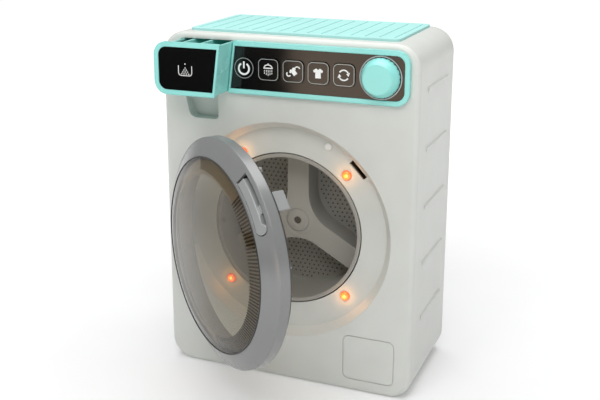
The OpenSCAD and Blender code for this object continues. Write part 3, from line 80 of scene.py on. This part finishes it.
def set_up(name):
    """A new node material with its tree, its shader and its place coordinates."""
    mat = bpy.data.materials.new(name)
    mat.use_nodes = True
    tree = mat.node_tree
    place = tree.nodes.new("ShaderNodeTexCoord").outputs["Object"]
    return mat, tree, tree.nodes["Principled BSDF"], place


def noise(tree, place, scale, detail=2.0, stretch=None):
    """Noise of that many features per metre; stretch squeezes it along an axis."""
    if stretch:
        scaled = tree.nodes.new("ShaderNodeMapping")
        scaled.inputs["Scale"].default_value = stretch
        tree.links.new(place, scaled.inputs["Vector"])
        place = scaled.outputs["Vector"]
    made = tree.nodes.new("ShaderNodeTexNoise")
    made.inputs["Scale"].default_value = scale
    made.inputs["Detail"].default_value = detail
    tree.links.new(place, made.inputs["Vector"])
    return made.outputs["Fac"]


def spread(tree, value, low, high, start=0.3, end=0.7):
    """Maps a value that goes from start to end, as noise mostly does, to low to high."""
    made = tree.nodes.new("ShaderNodeMapRange")
    for name, number in (("From Min", start), ("From Max", end), ("To Min", low), ("To Max", high)):
        made.inputs[name].default_value = number
    tree.links.new(value, made.inputs["Value"])
    return made.outputs["Result"]


def blend_colours(tree, value, first, second):
    """Goes from the first colour to the second with a value from 0 to 1."""
    made = tree.nodes.new("ShaderNodeMix")
    made.data_type = "RGBA"
    made.inputs["A"].default_value = (*first, 1)
    made.inputs["B"].default_value = (*second, 1)
    tree.links.new(value, made.inputs["Factor"])
    return made.outputs["Result"]


def emboss(tree, shader, value, depth, edge=0.0):
    """Fine relief of that depth, with edges shaded round; both in millimetres."""
    made = tree.nodes.new("ShaderNodeBump")
    if edge:
        rounded = tree.nodes.new("ShaderNodeBevel")
        rounded.inputs["Radius"].default_value = edge * MM
        tree.links.new(rounded.outputs["Normal"], made.inputs["Normal"])
    made.inputs["Distance"].default_value = depth * MM
    tree.links.new(value, made.inputs["Height"])
    tree.links.new(made.outputs["Normal"], shader.inputs["Normal"])


def plastic(name, colour, rough, drift=0.03, gloss_drift=0.04, grain=0.004, edge=0.0, **fixed):
    """Moulded plastic: faint cloudiness, handled patches in its gloss, a fine grain.

    Grain and the radius of shaded edges are in millimetres; fixed sets further sockets.
    """
    mat, tree, shader, place = set_up(name)
    cloud = spread(tree, noise(tree, place, 28, 3), 0, 1)
    dark = [c * (1 - drift) for c in colour]
    light = [min(1, c * (1 + drift)) for c in colour]
    tree.links.new(blend_colours(tree, cloud, dark, light), shader.inputs["Base Color"])
    handled = noise(tree, place, 40, 2)
    patches = spread(tree, handled, rough - gloss_drift, rough + gloss_drift, 0.15, 0.85)
    tree.links.new(patches, shader.inputs["Roughness"])
    emboss(tree, shader, noise(tree, place, 2400, 2), grain, edge)
    for key, number in fixed.items():
        shader.inputs[key.replace("_", " ")].default_value = number
    return mat


def metal(name, colour, rough):
    """Metal with fine drawn lines."""
    mat, tree, shader, place = set_up(name)
    shader.inputs["Metallic"].default_value = 1.0
    lines = noise(tree, place, 700, 3, stretch=(1, 1, 8))
    tree.links.new(spread(tree, lines, rough - 0.1, rough + 0.15), shader.inputs["Roughness"])
    stain = spread(tree, noise(tree, place, 90, 3), 0, 1)
    dull = [c * 0.82 for c in colour]
    tree.links.new(blend_colours(tree, stain, dull, colour), shader.inputs["Base Color"])
    emboss(tree, shader, lines, 0.006)
    return mat


def tinted_pane(name, tint, mirror_rough):
    """Clear tinted plastic: what is behind shows through, and the surface mirrors at a slant."""
    mat, tree, shader, place = set_up(name)
    tree.nodes.remove(shader)
    film = tree.nodes.new("ShaderNodeBsdfTransparent")
    film.inputs["Color"].default_value = (*tint, 1)
    mirror = tree.nodes.new("ShaderNodeBsdfGlossy")
    smear = spread(tree, noise(tree, place, 45, 4), mirror_rough, mirror_rough + 0.05)
    tree.links.new(smear, mirror.inputs["Roughness"])
    facing = tree.nodes.new("ShaderNodeLayerWeight")
    facing.inputs["Blend"].default_value = 0.5
    slant = tree.nodes.new("ShaderNodeMath")
    slant.operation = "POWER"
    slant.inputs[1].default_value = 4.5
    tree.links.new(facing.outputs["Facing"], slant.inputs[0])
    share = tree.nodes.new("ShaderNodeMath")
    share.inputs[1].default_value = 0.03
    tree.links.new(slant.outputs["Value"], share.inputs[0])
    mixed = tree.nodes.new("ShaderNodeMixShader")
    tree.links.new(share.outputs["Value"], mixed.inputs["Fac"])
    tree.links.new(film.outputs["BSDF"], mixed.inputs[1])
    tree.links.new(mirror.outputs["BSDF"], mixed.inputs[2])
    tree.links.new(mixed.outputs["Shader"], tree.nodes["Material Output"].inputs["Surface"])
    return mat


def lit_amber(name):
    """Lit lens: bright at its tip and deep orange towards its foot."""
    mat, tree, shader, place = set_up(name)
    split = tree.nodes.new("ShaderNodeSeparateXYZ")
    tree.links.new(place, split.inputs["Vector"])
    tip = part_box("led_upper_right")[0][1]
    depth = spread(tree, split.outputs["Y"], 0, 1, tip, tip + LENS_H * MM)
    speck = spread(tree, noise(tree, place, 900, 2), 0, 1)
    body = blend_colours(tree, speck, (0.72, 0.09, 0.015), (0.85, 0.14, 0.03))
    tree.links.new(body, shader.inputs["Base Color"])
    glow = blend_colours(tree, depth, (1.0, 0.36, 0.09), (1.0, 0.15, 0.015))
    tree.links.new(glow, shader.inputs["Emission Color"])
    shader.inputs["Emission Strength"].default_value = 0.9
    shader.inputs["Roughness"].default_value = 0.16
    shader.inputs["Coat Weight"].default_value = 0.6
    emboss(tree, shader, noise(tree, place, 1300, 2), 0.01)
    return mat


def circuit(name):
    """Green lacquer over copper tracks."""
    mat, tree, shader, place = set_up(name)
    tracks = tree.nodes.new("ShaderNodeTexBrick")
    tracks.inputs["Scale"].default_value = 260
    tracks.inputs["Mortar Size"].default_value = 0.06
    turn = tree.nodes.new("ShaderNodeMapping")
    turn.inputs["Rotation"].default_value = (radians(90), 0, 0)
    tree.links.new(place, turn.inputs["Vector"])
    tree.links.new(turn.outputs["Vector"], tracks.inputs["Vector"])
    colours = (("Color1", (0.012, 0.10, 0.035)), ("Color2", (0.016, 0.12, 0.045)),
               ("Mortar", (0.05, 0.20, 0.06)))
    for key, colour in colours:
        tracks.inputs[key].default_value = (*colour, 1)
    tree.links.new(tracks.outputs["Color"], shader.inputs["Base Color"])
    shader.inputs["Roughness"].default_value = 0.32
    emboss(tree, shader, tracks.outputs["Fac"], 0.03)
    return mat


SHELL = plastic("shell_plastic", (0.63, 0.64, 0.605), 0.36, edge=0.5)
MINT = plastic("mint_plastic", (0.29, 0.73, 0.68), 0.26, edge=1.3)
# a rougher, paler copy of the mint for the top plate; the paler tone is painted light from above
MINT_SATIN_PAINTED_LIGHT = plastic("mint_satin_painted_light_plastic", (0.38, 0.70, 0.67), 0.6)
TEAL = plastic("teal_plastic", (0.01, 0.50, 0.42), 0.34)
GLOSS = plastic("black_gloss_plastic", (0.004, 0.004, 0.004), 0.09, gloss_drift=0.02, grain=0.0006)
DOOR = plastic("door_plastic", (0.235, 0.238, 0.236), 0.24, grain=0.002, edge=0.7, Metallic=0.25)
# a lighter copy of the door grey: painted light on the handle pad
HANDLE_PAINTED_LIGHT = plastic("handle_painted_light_plastic", (0.33, 0.335, 0.335), 0.22, grain=0.002, edge=0.9, Metallic=0.25)
SMOKE = tinted_pane("smoke_pane", (0.715, 0.685, 0.62), 0.03)
LINER = plastic("liner_plastic", (0.24, 0.225, 0.205), 0.30, grain=0.002)
DRUM = plastic("drum_plastic", (0.34, 0.328, 0.297), 0.30, grain=0.003)
WHITE = plastic("white_plastic", (0.80, 0.80, 0.77), 0.35)
RUBBER = plastic("white_rubber", (0.70, 0.70, 0.66), 0.65)
BLACK = plastic("black_plastic", (0.012, 0.012, 0.013), 0.45)
CELL = plastic("cell_sleeve", (0.02, 0.02, 0.025), 0.25)
STEEL = metal("steel", (0.62, 0.63, 0.65), 0.28)
DARK_STEEL = metal("dark_steel", (0.16, 0.155, 0.15), 0.35)
BRASS = metal("brass", (0.72, 0.52, 0.20), 0.28)
AMBER = lit_amber("amber_lens")
BOARD = circuit("circuit_board")
PRINT = plastic("white_print", (0.83, 0.84, 0.82), 0.5, grain=0.001)
LINE = plastic("light_line", (0.36, 0.40, 0.40), 0.25, grain=0.001, Metallic=0.3)
# a darker copy of the drum grey: painted shade inside the drum's holes
HOLE_PAINTED_SHADE = plastic("painted_hole_shade", (0.12, 0.113, 0.102), 0.6)
SEAL = plastic("dark_seal", (0.020, 0.017, 0.014), 0.42, grain=0.002)
RIB = plastic("window_rib", (0.045, 0.032, 0.022), 0.35, grain=0.001)
FILM = plastic("window_film", (0.54, 0.475, 0.40), 0.4, grain=0.001, Alpha=0.82)

FINISH = {
    "cabinet_shell": SHELL, "mint": MINT, "teal": TEAL, "black_gloss": GLOSS, "door_grey": DOOR,
    "smoke": SMOKE, "liner_dark": LINER, "drum_grey": DRUM, "steel": STEEL, "white": WHITE,
    "rubber_white": RUBBER, "amber": AMBER, "board": BOARD, "brass": BRASS, "black_matt": BLACK,
    "cell": CELL,
}


# ---------------------------------------------------------------- helpers for pieces

def smooth_group():
    """Geometry nodes that shade faces smooth and keep the steeper edges sharp."""
    group = bpy.data.node_groups.new("smooth_by_angle", "GeometryNodeTree")
    group.interface.new_socket("Geometry", in_out="INPUT", socket_type="NodeSocketGeometry")
    group.interface.new_socket("Geometry", in_out="OUTPUT", socket_type="NodeSocketGeometry")
    entry = group.nodes.new("NodeGroupInput")
    leave = group.nodes.new("NodeGroupOutput")
    faces = group.nodes.new("GeometryNodeSetShadeSmooth")
    faces.domain = "FACE"
    edges = group.nodes.new("GeometryNodeSetShadeSmooth")
    edges.domain = "EDGE"
    angle = group.nodes.new("GeometryNodeInputMeshEdgeAngle")
    flat = group.nodes.new("FunctionNodeCompare")
    flat.operation = "LESS_THAN"
    flat.inputs["B"].default_value = SHARP_ANGLE
    link = group.links.new
    link(entry.outputs[0], faces.inputs["Geometry"])
    link(faces.outputs["Geometry"], edges.inputs["Geometry"])
    link(angle.outputs["Unsigned Angle"], flat.inputs["A"])
    link(flat.outputs["Result"], edges.inputs["Shade Smooth"])
    link(edges.outputs["Geometry"], leave.inputs[0])
    return group


SMOOTH = smooth_group()


def soften(obj, width=0.0):
    """Rounds sharp edges by a width in millimetres and shades the rest smooth.

    The last modifier keeps the rounding from bending the shade of the large faces.
    """
    weld = obj.modifiers.new("weld", "WELD")
    weld.merge_threshold = 0.002 * MM
    if width:
        round_off = obj.modifiers.new("bevel", "BEVEL")
        round_off.limit_method = "ANGLE"
        round_off.angle_limit = ROUNDED_ANGLE
        round_off.width = width * MM
        round_off.segments = 2
    shade = obj.modifiers.new("smooth", "NODES")
    shade.node_group = SMOOTH
    if width:
        flats = obj.modifiers.new("flats", "WEIGHTED_NORMAL")
        flats.mode = "FACE_AREA"
        flats.weight = 90
        flats.keep_sharp = True


def add_piece(name, build, body, slot, *materials, place=None):
    """Makes a piece from a bmesh, which rides on a body; its slot argument is not used."""
    mesh = bpy.data.meshes.new(name)
    if place is not None:
        bmesh.ops.transform(build, matrix=place, verts=build.verts)
    bmesh.ops.recalc_face_normals(build, faces=build.faces)
    build.to_mesh(mesh)
    build.free()
    for made in materials:
        mesh.materials.append(made)
    obj = bpy.data.objects.new(name, mesh)
    bpy.context.scene.collection.objects.link(obj)
    soften(obj)
    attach(obj, body)


def prism(build, outline, front_y, back_y, index=0):
    """Adds a closed outline in front view, as deep as from front_y to back_y."""
    rings = [[build.verts.new(Vector((x, y, z)) * MM) for x, z in outline] for y in (front_y, back_y)]
    faces = [build.faces.new(rings[0]), build.faces.new(rings[1])]
    count = len(outline)
    for k in range(count):
        n = (k + 1) % count
        faces.append(build.faces.new((rings[0][k], rings[0][n], rings[1][n], rings[1][k])))
    for face in faces:
        face.material_index = index


def band(build, outer, inner, front_y, back_y):
    """Adds the strip between two outlines with the same number of points."""
    loops = [[build.verts.new(Vector((x, y, z)) * MM) for x, z in line]
             for line, y in ((outer, front_y), (outer, back_y), (inner, back_y), (inner, front_y))]
    count = len(outer)
    for a, b in ((0, 1), (1, 2), (2, 3), (3, 0)):
        for k in range(count):
            n = (k + 1) % count
            build.faces.new((loops[a][k], loops[a][n], loops[b][n], loops[b][k]))


def strip(build, path, width, front_y, back_y):
    """Adds a line of that width along a path in front view."""
    left, right = [], []
    last = len(path) - 1
    for k, (x, z) in enumerate(path):
        ahead, behind = path[min(k + 1, last)], path[max(k - 1, 0)]
        dx, dz = ahead[0] - behind[0], ahead[1] - behind[1]
        size = hypot(dx, dz)
        off = (-dz / size * width / 2, dx / size * width / 2)
        left.append((x + off[0], z + off[1]))
        right.append((x - off[0], z - off[1]))
    prism(build, left + right[::-1], front_y, back_y)


def arc(x, z, r, start, end, steps):
    """Points on an arc, angles in degrees from the right, counted upwards."""
    angles = [radians(start + (end - start) * k / steps) for k in range(steps + 1)]
    return [(x + r * cos(a), z + r * sin(a)) for a in angles]


def rounded_square(x, z, half, r, steps=6):
    """Outline of a square with round corners."""
    reach = half - r
    corners = ((1, 1, 0), (-1, 1, 90), (-1, -1, 180), (1, -1, 270))
    return [p for sx, sz, a in corners
            for p in arc(x + sx * reach, z + sz * reach, r, a, a + 90, steps)]


def lathe(build, profile, x, z, steps=128):
    """Turns a profile of (radius, y) points about an axis that runs front to back."""
    rings = []
    for k in range(steps):
        a = radians(360 * k / steps)
        rings.append([build.verts.new(Vector((x + r * cos(a), y, z + r * sin(a))) * MM)
                      for r, y in profile])
    size = len(profile)
    for k in range(steps):
        here, there = rings[k], rings[(k + 1) % steps]
        for j in range(size):
            i = (j + 1) % size
            build.faces.new((here[j], here[i], there[i], there[j]))


def bar(build, corners):
    """Adds a short bar between two four cornered ends."""
    here, there = corners[:4], corners[4:]
    build.faces.new(here)
    build.faces.new(there[::-1])
    for k in range(4):
        n = (k + 1) % 4
        build.faces.new((here[k], there[k], there[n], here[n]))


def opened():
    """Turns a piece of the closed door to the door's rest angle."""
    pin = Vector((HINGE_X, HINGE_Y, 0)) * MM
    return Matrix.Translation(pin) @ Matrix.Rotation(DOOR_OPEN, 4, "Z") @ Matrix.Translation(-pin)


def pulled():
    """Moves a piece of the closed drawer to the drawer's rest place."""
    return Matrix.Translation((0, -DRAWER_PULL * MM, 0))


# ---------------------------------------------------------------- CAD nodes

# width in millimetres by which the sharp edges of a node in sight are rounded
EDGE_WIDTHS = {
    "front_casing": 0.35, "rear_cover": 0.35, "top_plate": 0.35, "panel_frame": 1.0,
    "panel_fascia": 0.1, "dial_ring": 0.15, "drawer_bay": 0.2, "tub": 0.2,
    "door_liner": 0.25, "door_handle": 0.6, "detergent_drawer": 0.9,
    "drawer_fascia": 0.1, "power_button": 0.3, "rinse_button": 0.4, "wash_button": 0.4,
    "shirt_button": 0.4, "cycle_button": 0.4, "dial_knob": 0.3, "drum": 0.6,
    "hinge_bracket": 0.3, "battery_cover": 0.25, "handle_spring": 0.1,
}

# nodes that look different from the rest of their material slot; the paler top plate and the lighter
# handle are painted light
NODE_FINISH = {
    "top_plate": MINT_SATIN_PAINTED_LIGHT, "dial_ring": LINE, "door_handle": HANDLE_PAINTED_LIGHT, "drum_screw": DARK_STEEL,
}


def dress_cad():
    """Gives every CAD node its finish and softens the edges of the ones in sight."""
    for name, obj in nodes.items():
        for slot in obj.material_slots:
            slot.material = NODE_FINISH.get(name) or FINISH[slot.material.name]
        soften(obj, EDGE_WIDTHS.get(name, 0.0))


# ---------------------------------------------------------------- control panel

ICON_LIFT = 0.12
ICON_DEPTH = 0.1
ROUND_KEY_LINE = (0.35, 0.75)
SQUARE_KEY_LINE = (0.45, 0.87)


def key_x(k):
    """Middle of a button, counted from the left."""
    return FIRST_KEY_X + k * KEY_PITCH


def key_lines():
    """Light line round the edge of each button face."""
    names = ("power", "rinse", "wash", "shirt", "cycle")
    front, back = PANEL_FACE_Y - ICON_LIFT, PANEL_FACE_Y + ICON_DEPTH
    steps = 48
    for k, name in enumerate(names):
        build = bmesh.new()
        x = key_x(k)
        if k == 0:
            outer, inner = (arc(x, PANEL_Z, POWER_R - inset, 0, 360 * (steps - 1) / steps, steps - 1)
                            for inset in ROUND_KEY_LINE)
        else:
            outer, inner = (rounded_square(x, PANEL_Z, KEY_HALF - inset, KEY_CORNER - inset)
                            for inset in SQUARE_KEY_LINE)
        band(build, outer, inner, front, back)
        add_piece(name + "_line", build, name + "_key", "white", LINE)


def icon(name, body, draw):
    """One printed sign on a button; draw adds its shapes to the bmesh."""
    build = bmesh.new()
    draw(build, PANEL_FACE_Y - ICON_LIFT, PANEL_FACE_Y + ICON_DEPTH)
    add_piece(name, build, body, "white", PRINT)


def draw_power(build, front, back):
    """Open ring with a stroke at its top."""
    x, z = key_x(0), PANEL_Z - 0.4
    strip(build, arc(x, z, 4.1, 122, 418, 40), 1.35, front, back)
    strip(build, [(x, z + 0.2), (x, z + 5.3)], 1.25, front, back)


def draw_shower(build, front, back):
    """Shower head over five columns of drops."""
    x, z = key_x(1), PANEL_Z + 0.4
    dome = [(px, z + 0.8 + (pz - z) * 0.72) for px, pz in arc(x, z, 3.2, 0, 180, 20)]
    strip(build, dome, 0.7, front, back)
    strip(build, [(x - 3.7, z + 0.7), (x + 3.7, z + 0.7)], 0.75, front, back)
    prism(build, rounded_square(x, z + 3.6, 0.5, 0.2, 3), front, back)
    for column in range(-2, 3):
        drop_x = x + column * 1.45
        reach = 1.9 - 0.35 * abs(column)
        for top in (z - 0.6, z - 1.1 - reach):
            strip(build, [(drop_x, top), (drop_x, top - reach)], 0.42, front, back)


def shirt_outline():
    """A short sleeved shirt about its own middle."""
    right = [(0.95, 3.4), (2.0, 3.2), (3.75, 1.9), (3.0, 0.3), (2.0, 0.9), (2.1, -3.5)]
    neck = arc(0, 3.5, 0.95, 340, 200, 6)
    return right[::-1] + neck + [(-x, z) for x, z in right]


def draw_shirt(build, front, back):
    """One shirt, upright."""
    x, z = key_x(3), PANEL_Z
    outline = [(x + px, z + pz) for px, pz in shirt_outline()]
    prism(build, outline, front, back)


def draw_tumble(build, front, back):
    """A tumbling shirt between two curved strokes."""
    x, z = key_x(2), PANEL_Z
    size, a = 0.78, radians(38)
    outline = [(x + 0.5 + size * (px * cos(a) - pz * sin(a)),
                z - 0.1 + size * (px * sin(a) + pz * cos(a))) for px, pz in shirt_outline()]
    prism(build, outline, front, back)
    strip(build, arc(x + 3.4, z + 1.6, 2.0, 20, 150, 12), 0.75, front, back)
    strip(build, arc(x - 3.2, z - 2.0, 1.5, 130, 330, 14), 0.85, front, back)


def draw_cycle(build, front, back):
    """Two arrows that follow each other round a circle."""
    x, z, r = key_x(4), PANEL_Z, 3.6
    for half in (0, 180):
        strip(build, arc(x, z, r, half + 22, half + 148, 24), 0.95, front, back)
        tip, foot = radians(half - 14), radians(half + 26)
        out, inn = r + 1.5, r - 1.5
        head = [(x + r * cos(tip), z + r * sin(tip)), (x + out * cos(foot), z + out * sin(foot)),
                (x + inn * cos(foot), z + inn * sin(foot))]
        prism(build, head, front, back)


def draw_tray(build, front, back):
    """Open tray with a heap of powder in it, on the drawer front."""
    x, z, half, r = TRAY_SIGN_X, PANEL_Z - 0.6, 5.4, 2.2
    left = arc(x - half + r, z - 4 + r, r, 180, 270, 6)
    right = arc(x + half - r, z - 4 + r, r, 270, 360, 6)
    strip(build, [(x - half, z + 3.2)] + left + right + [(x + half, z + 3.2)], 0.5, front, back)
    for row in range(5):
        count = max(1, row)
        dot_z = z + 4.5 - (row + (row > 0)) * 1.45
        for k in range(count):
            dot_x = x + (k - (count - 1) / 2) * 1.9
            prism(build, arc(dot_x, dot_z, 0.45, 0, 330, 11), front, back)


def panel_detail():
    """Everything printed on the buttons and the drawer front."""
    key_lines()
    icon("power_sign", "power_key", draw_power)
    icon("rinse_sign", "rinse_key", draw_shower)
    icon("tumble_sign", "wash_key", draw_tumble)
    icon("shirt_sign", "shirt_key", draw_shirt)
    icon("cycle_sign", "cycle_key", draw_cycle)
    build = bmesh.new()
    draw_tray(build, DRAWER_SIGN_Y - ICON_LIFT, DRAWER_SIGN_Y + ICON_DEPTH)
    add_piece("tray_sign", build, "drawer", "white", PRINT, place=pulled())


# ---------------------------------------------------------------- door and drum

def window_ribs():
    """Fine dark ribs behind the sloping edge of the window, on its free side only."""
    build = bmesh.new()
    count, share = 160, 0.44
    front, back = 0.05, 0.45
    lowest, highest = -85, 58
    for k in range(count * lowest // 360, count * highest // 360):
        a = radians(360 * k / count)
        corners = []
        for r, y in (SLOPE_OUT, SLOPE_IN):
            half = pi * share / count * WINDOW_R / r
            narrow = half * 0.7
            for turn, depth in ((-half, front), (half, front), (narrow, back), (-narrow, back)):
                corners.append(build.verts.new(Vector((WELL_X + r * cos(a + turn), y + depth,
                                                       WELL_Z + r * sin(a + turn))) * MM))
        bar(build, corners)
    add_piece("window_ribs", build, "door", "liner_dark", RIB, place=opened())


def window_film():
    """Brown film behind the ribs."""
    build = bmesh.new()
    front, back = 0.5, 0.7
    (out_r, out_y), (in_r, in_y) = SLOPE_OUT, SLOPE_IN
    profile = [(out_r, out_y + front), (in_r, in_y + front), (in_r, in_y + back), (out_r, out_y + back)]
    lathe(build, profile, WELL_X, WELL_Z, 256)
    add_piece("window_film", build, "door", "smoke", FILM, place=opened())


def window_gasket():
    """Dark bead between the window and the ring."""
    build = bmesh.new()
    y, r = WINDOW_EDGE_Y + 0.1, WINDOW_R - 0.1
    lathe(build, arc(r, y, 0.55, 0, 315, 7), WELL_X, WELL_Z, 160)
    add_piece("window_gasket", build, "door", "liner_dark", SEAL, place=opened())


def door_seal():
    """Dark seal on the back of the door."""
    build = bmesh.new()
    (front_r, front_y), (back_r, back_y) = SEAL_FRONT, SEAL_BACK
    profile = [(front_r - 0.8, front_y), (front_r, front_y), (front_r - 0.2, front_y + 0.9),
               (back_r + 0.25, back_y - 0.5), (back_r - 0.1, back_y), (back_r - 0.8, back_y)]
    lathe(build, profile, WELL_X, WELL_Z, 160)
    add_piece("door_seal", build, "door", "liner_dark", SEAL, place=opened())


def in_pocket(x, z, margin):
    """True where a point about the drum axis lies on the floor between two arms."""
    r = POCKET_R - margin
    half_turn = radians(60)
    for turn in (-90, 30, 150):
        a = radians(-turn)
        along, across = x * cos(a) - z * sin(a), x * sin(a) + z * cos(a)
        side = (POCKET_OUT - along) * sin(half_turn) + abs(across) * cos(half_turn)
        inside_round = hypot(along - POCKET_OUT, across) < r
        beyond = along > POCKET_OUT - r * sin(half_turn) and side < r
        if inside_round or beyond:
            return True
    return False


def drum_holes():
    """Pressed rims on the floor between the arms, each round a dark disc of painted shade where the
    hole is.
    """
    build = bmesh.new()
    pitch, margin, y = 3.9, 2.4, DRUM_FLOOR_Y
    reach = ceil(DRUM_IN_R / pitch) + 1
    for row in range(-reach, reach + 1):
        for column in range(-reach, reach + 1):
            x = (column + 0.5 * (row % 2)) * pitch
            z = row * pitch * cos(radians(30))
            if hypot(x, z) > DRUM_IN_R - 2.2 or not in_pocket(x, z, margin):
                continue
            rim = [(1.45, y + 0.1), (1.15, y - 0.38), (0.85, y - 0.38), (0.8, y + 0.1)]
            lathe(build, rim, WELL_X + x, WELL_Z + z, 10)
            # the dark disc inside each rim is painted shade where the hole is
            prism(build, arc(WELL_X + x, WELL_Z + z, 0.86, 0, 324, 9), y - 0.06, y + 0.1, index=1)
    add_piece("drum_holes", build, "drum_unit", "drum_grey", DRUM, HOLE_PAINTED_SHADE)


def drum_rings():
    """Fine rings round the middle of the drum."""
    build = bmesh.new()
    for r in (9.5, 12.5):
        foot, top = ARM_Y + 0.2, ARM_Y - 0.12
        bead = [(r - 0.6, foot), (r - 0.2, top), (r + 0.2, top), (r + 0.6, foot)]
        lathe(build, bead, WELL_X, WELL_Z, 96)
    add_piece("drum_rings", build, "drum_unit", "drum_grey", DRUM)


# ---------------------------------------------------------------- stage, light and camera

def make_camera():
    """Stands where the photograph was taken from."""
    target = Vector((-21.13, 0, 163.06)) * MM
    yaw, pitch, roll = radians(CAMERA_YAW), radians(15.44), radians(-0.14)
    distance = 783.87 * MM
    away = Vector((sin(yaw) * cos(pitch), -cos(yaw) * cos(pitch), sin(pitch)))
    data = bpy.data.cameras.new("camera")
    data.sensor_width = 36
    data.lens = 59.46
    data.shift_x, data.shift_y = 0.026, -0.069
    cam = bpy.data.objects.new("camera", data)
    cam.rotation_mode = "QUATERNION"
    cam.location = target + away * distance
    cam.rotation_quaternion = (-away).to_track_quat("-Z", "Y") @ Quaternion((0, 0, 1), roll)
    bpy.context.scene.collection.objects.link(cam)
    bpy.context.scene.camera = cam


def softbox(name, place, aim, size, watts):
    """A flat studio lamp that points at a place."""
    data = bpy.data.lights.new(name, "AREA")
    data.shape = "RECTANGLE"
    data.size, data.size_y = size
    data.energy = watts
    obj = bpy.data.objects.new(name, data)
    obj.location = place
    obj.rotation_mode = "QUATERNION"
    obj.rotation_quaternion = (Vector(aim) - Vector(place)).to_track_quat("-Z", "Y")
    bpy.context.scene.collection.objects.link(obj)


def glow_lights():
    """A small warm lamp in front of each signal light."""
    watts, size, height = 0.0027, 1.2, 4.2
    for k, angle in enumerate(LED_ANGLES):
        a = radians(angle)
        x, z = WELL_X + LED_RING_R * cos(a), WELL_Z + LED_RING_R * sin(a)
        data = bpy.data.lights.new(f"glow_{k}", "POINT")
        data.energy = watts
        data.color = (1.0, 0.46, 0.10)
        data.shadow_soft_size = size * MM
        obj = bpy.data.objects.new(f"glow_{k}", data)
        obj.location = Vector((x, WELL_FLOOR_Y - height, z)) * MM
        bpy.context.scene.collection.objects.link(obj)


def paper():
    """White floor paper that glows more the further away it lies, so that it fades out white."""
    mat, tree, shader, place = set_up("floor_paper")
    cloud = spread(tree, noise(tree, place, 6, 3), 0, 1)
    tint = blend_colours(tree, cloud, (0.75, 0.75, 0.75), (0.78, 0.78, 0.78))
    tree.links.new(tint, shader.inputs["Base Color"])
    shader.inputs["Roughness"].default_value = 0.9
    shader.inputs["Specular IOR Level"].default_value = 0.1
    shader.inputs["Emission Color"].default_value = (1, 1, 1, 1)
    away = tree.nodes.new("ShaderNodeVectorMath")
    away.operation = "LENGTH"
    tree.links.new(place, away.inputs[0])
    tree.links.new(spread(tree, away.outputs["Value"], 0.15, 0.72, 0.2, 1.1),
                   shader.inputs["Emission Strength"])
    return mat


def lay_sheet(name, mat, size, middle, turn=0.0):
    """A flat sheet on the floor, turned by an angle in degrees."""
    build = bmesh.new()
    bmesh.ops.create_grid(build, x_segments=1, y_segments=1, size=0.5)
    bmesh.ops.scale(build, vec=(*size, 1), verts=build.verts)
    mesh = bpy.data.meshes.new(name)
    build.to_mesh(mesh)
    build.free()
    mesh.materials.append(mat)
    sheet = bpy.data.objects.new(name, mesh)
    sheet.location = middle
    sheet.rotation_euler.z = radians(turn)
    bpy.context.scene.collection.objects.link(sheet)
    return sheet


def mirrored_cards():
    """Two cards on the floor to the front left, which show only in glossy surfaces."""
    dark = plastic("dark_card", (0.012, 0.022, 0.021), 0.8, Specular_IOR_Level=0.0)
    brown = plastic("brown_card", (0.30, 0.22, 0.16), 0.8, Emission_Strength=2.2)
    shader = brown.node_tree.nodes["Principled BSDF"]
    shader.inputs["Emission Color"].default_value = (1.0, 0.78, 0.6, 1)
    for name, mat, size, middle in (("dark_card", dark, (0.80, 1.5), (-0.887, -1.163, 0.001)),
                                    ("brown_card", brown, (0.36, 1.1), (-0.351, -1.385, 0.001))):
        card = lay_sheet(name, mat, size, middle, -CAMERA_YAW)
        card.visible_camera = False
        card.visible_diffuse = False


def make_stage():
    """Pale floor, soft sky and two studio lamps."""
    scene = bpy.context.scene
    scene.view_settings.view_transform = "Standard"
    world = bpy.data.worlds.new("studio")
    world.use_nodes = True
    sky = world.node_tree.nodes["Background"]
    sky.inputs["Color"].default_value = (0.985, 1.0, 1.0, 1)
    sky.inputs["Strength"].default_value = 0.37
    scene.world = world
    lay_sheet("floor", paper(), (12, 12), (0, 0, -0.02 * MM))
    mirrored_cards()
    middle = (0, 0, 0.15)
    softbox("top_box", (0.0, 0.1, 1.3), middle, (1.1, 1.1), 11)
    softbox("key_box", (0.12, -0.80, 1.05), middle, (0.9, 0.6), 6.9)


make_camera()
dress_cad()
panel_detail()
window_ribs()
window_film()
window_gasket()
door_seal()
drum_holes()
drum_rings()
glow_lights()
make_stage()
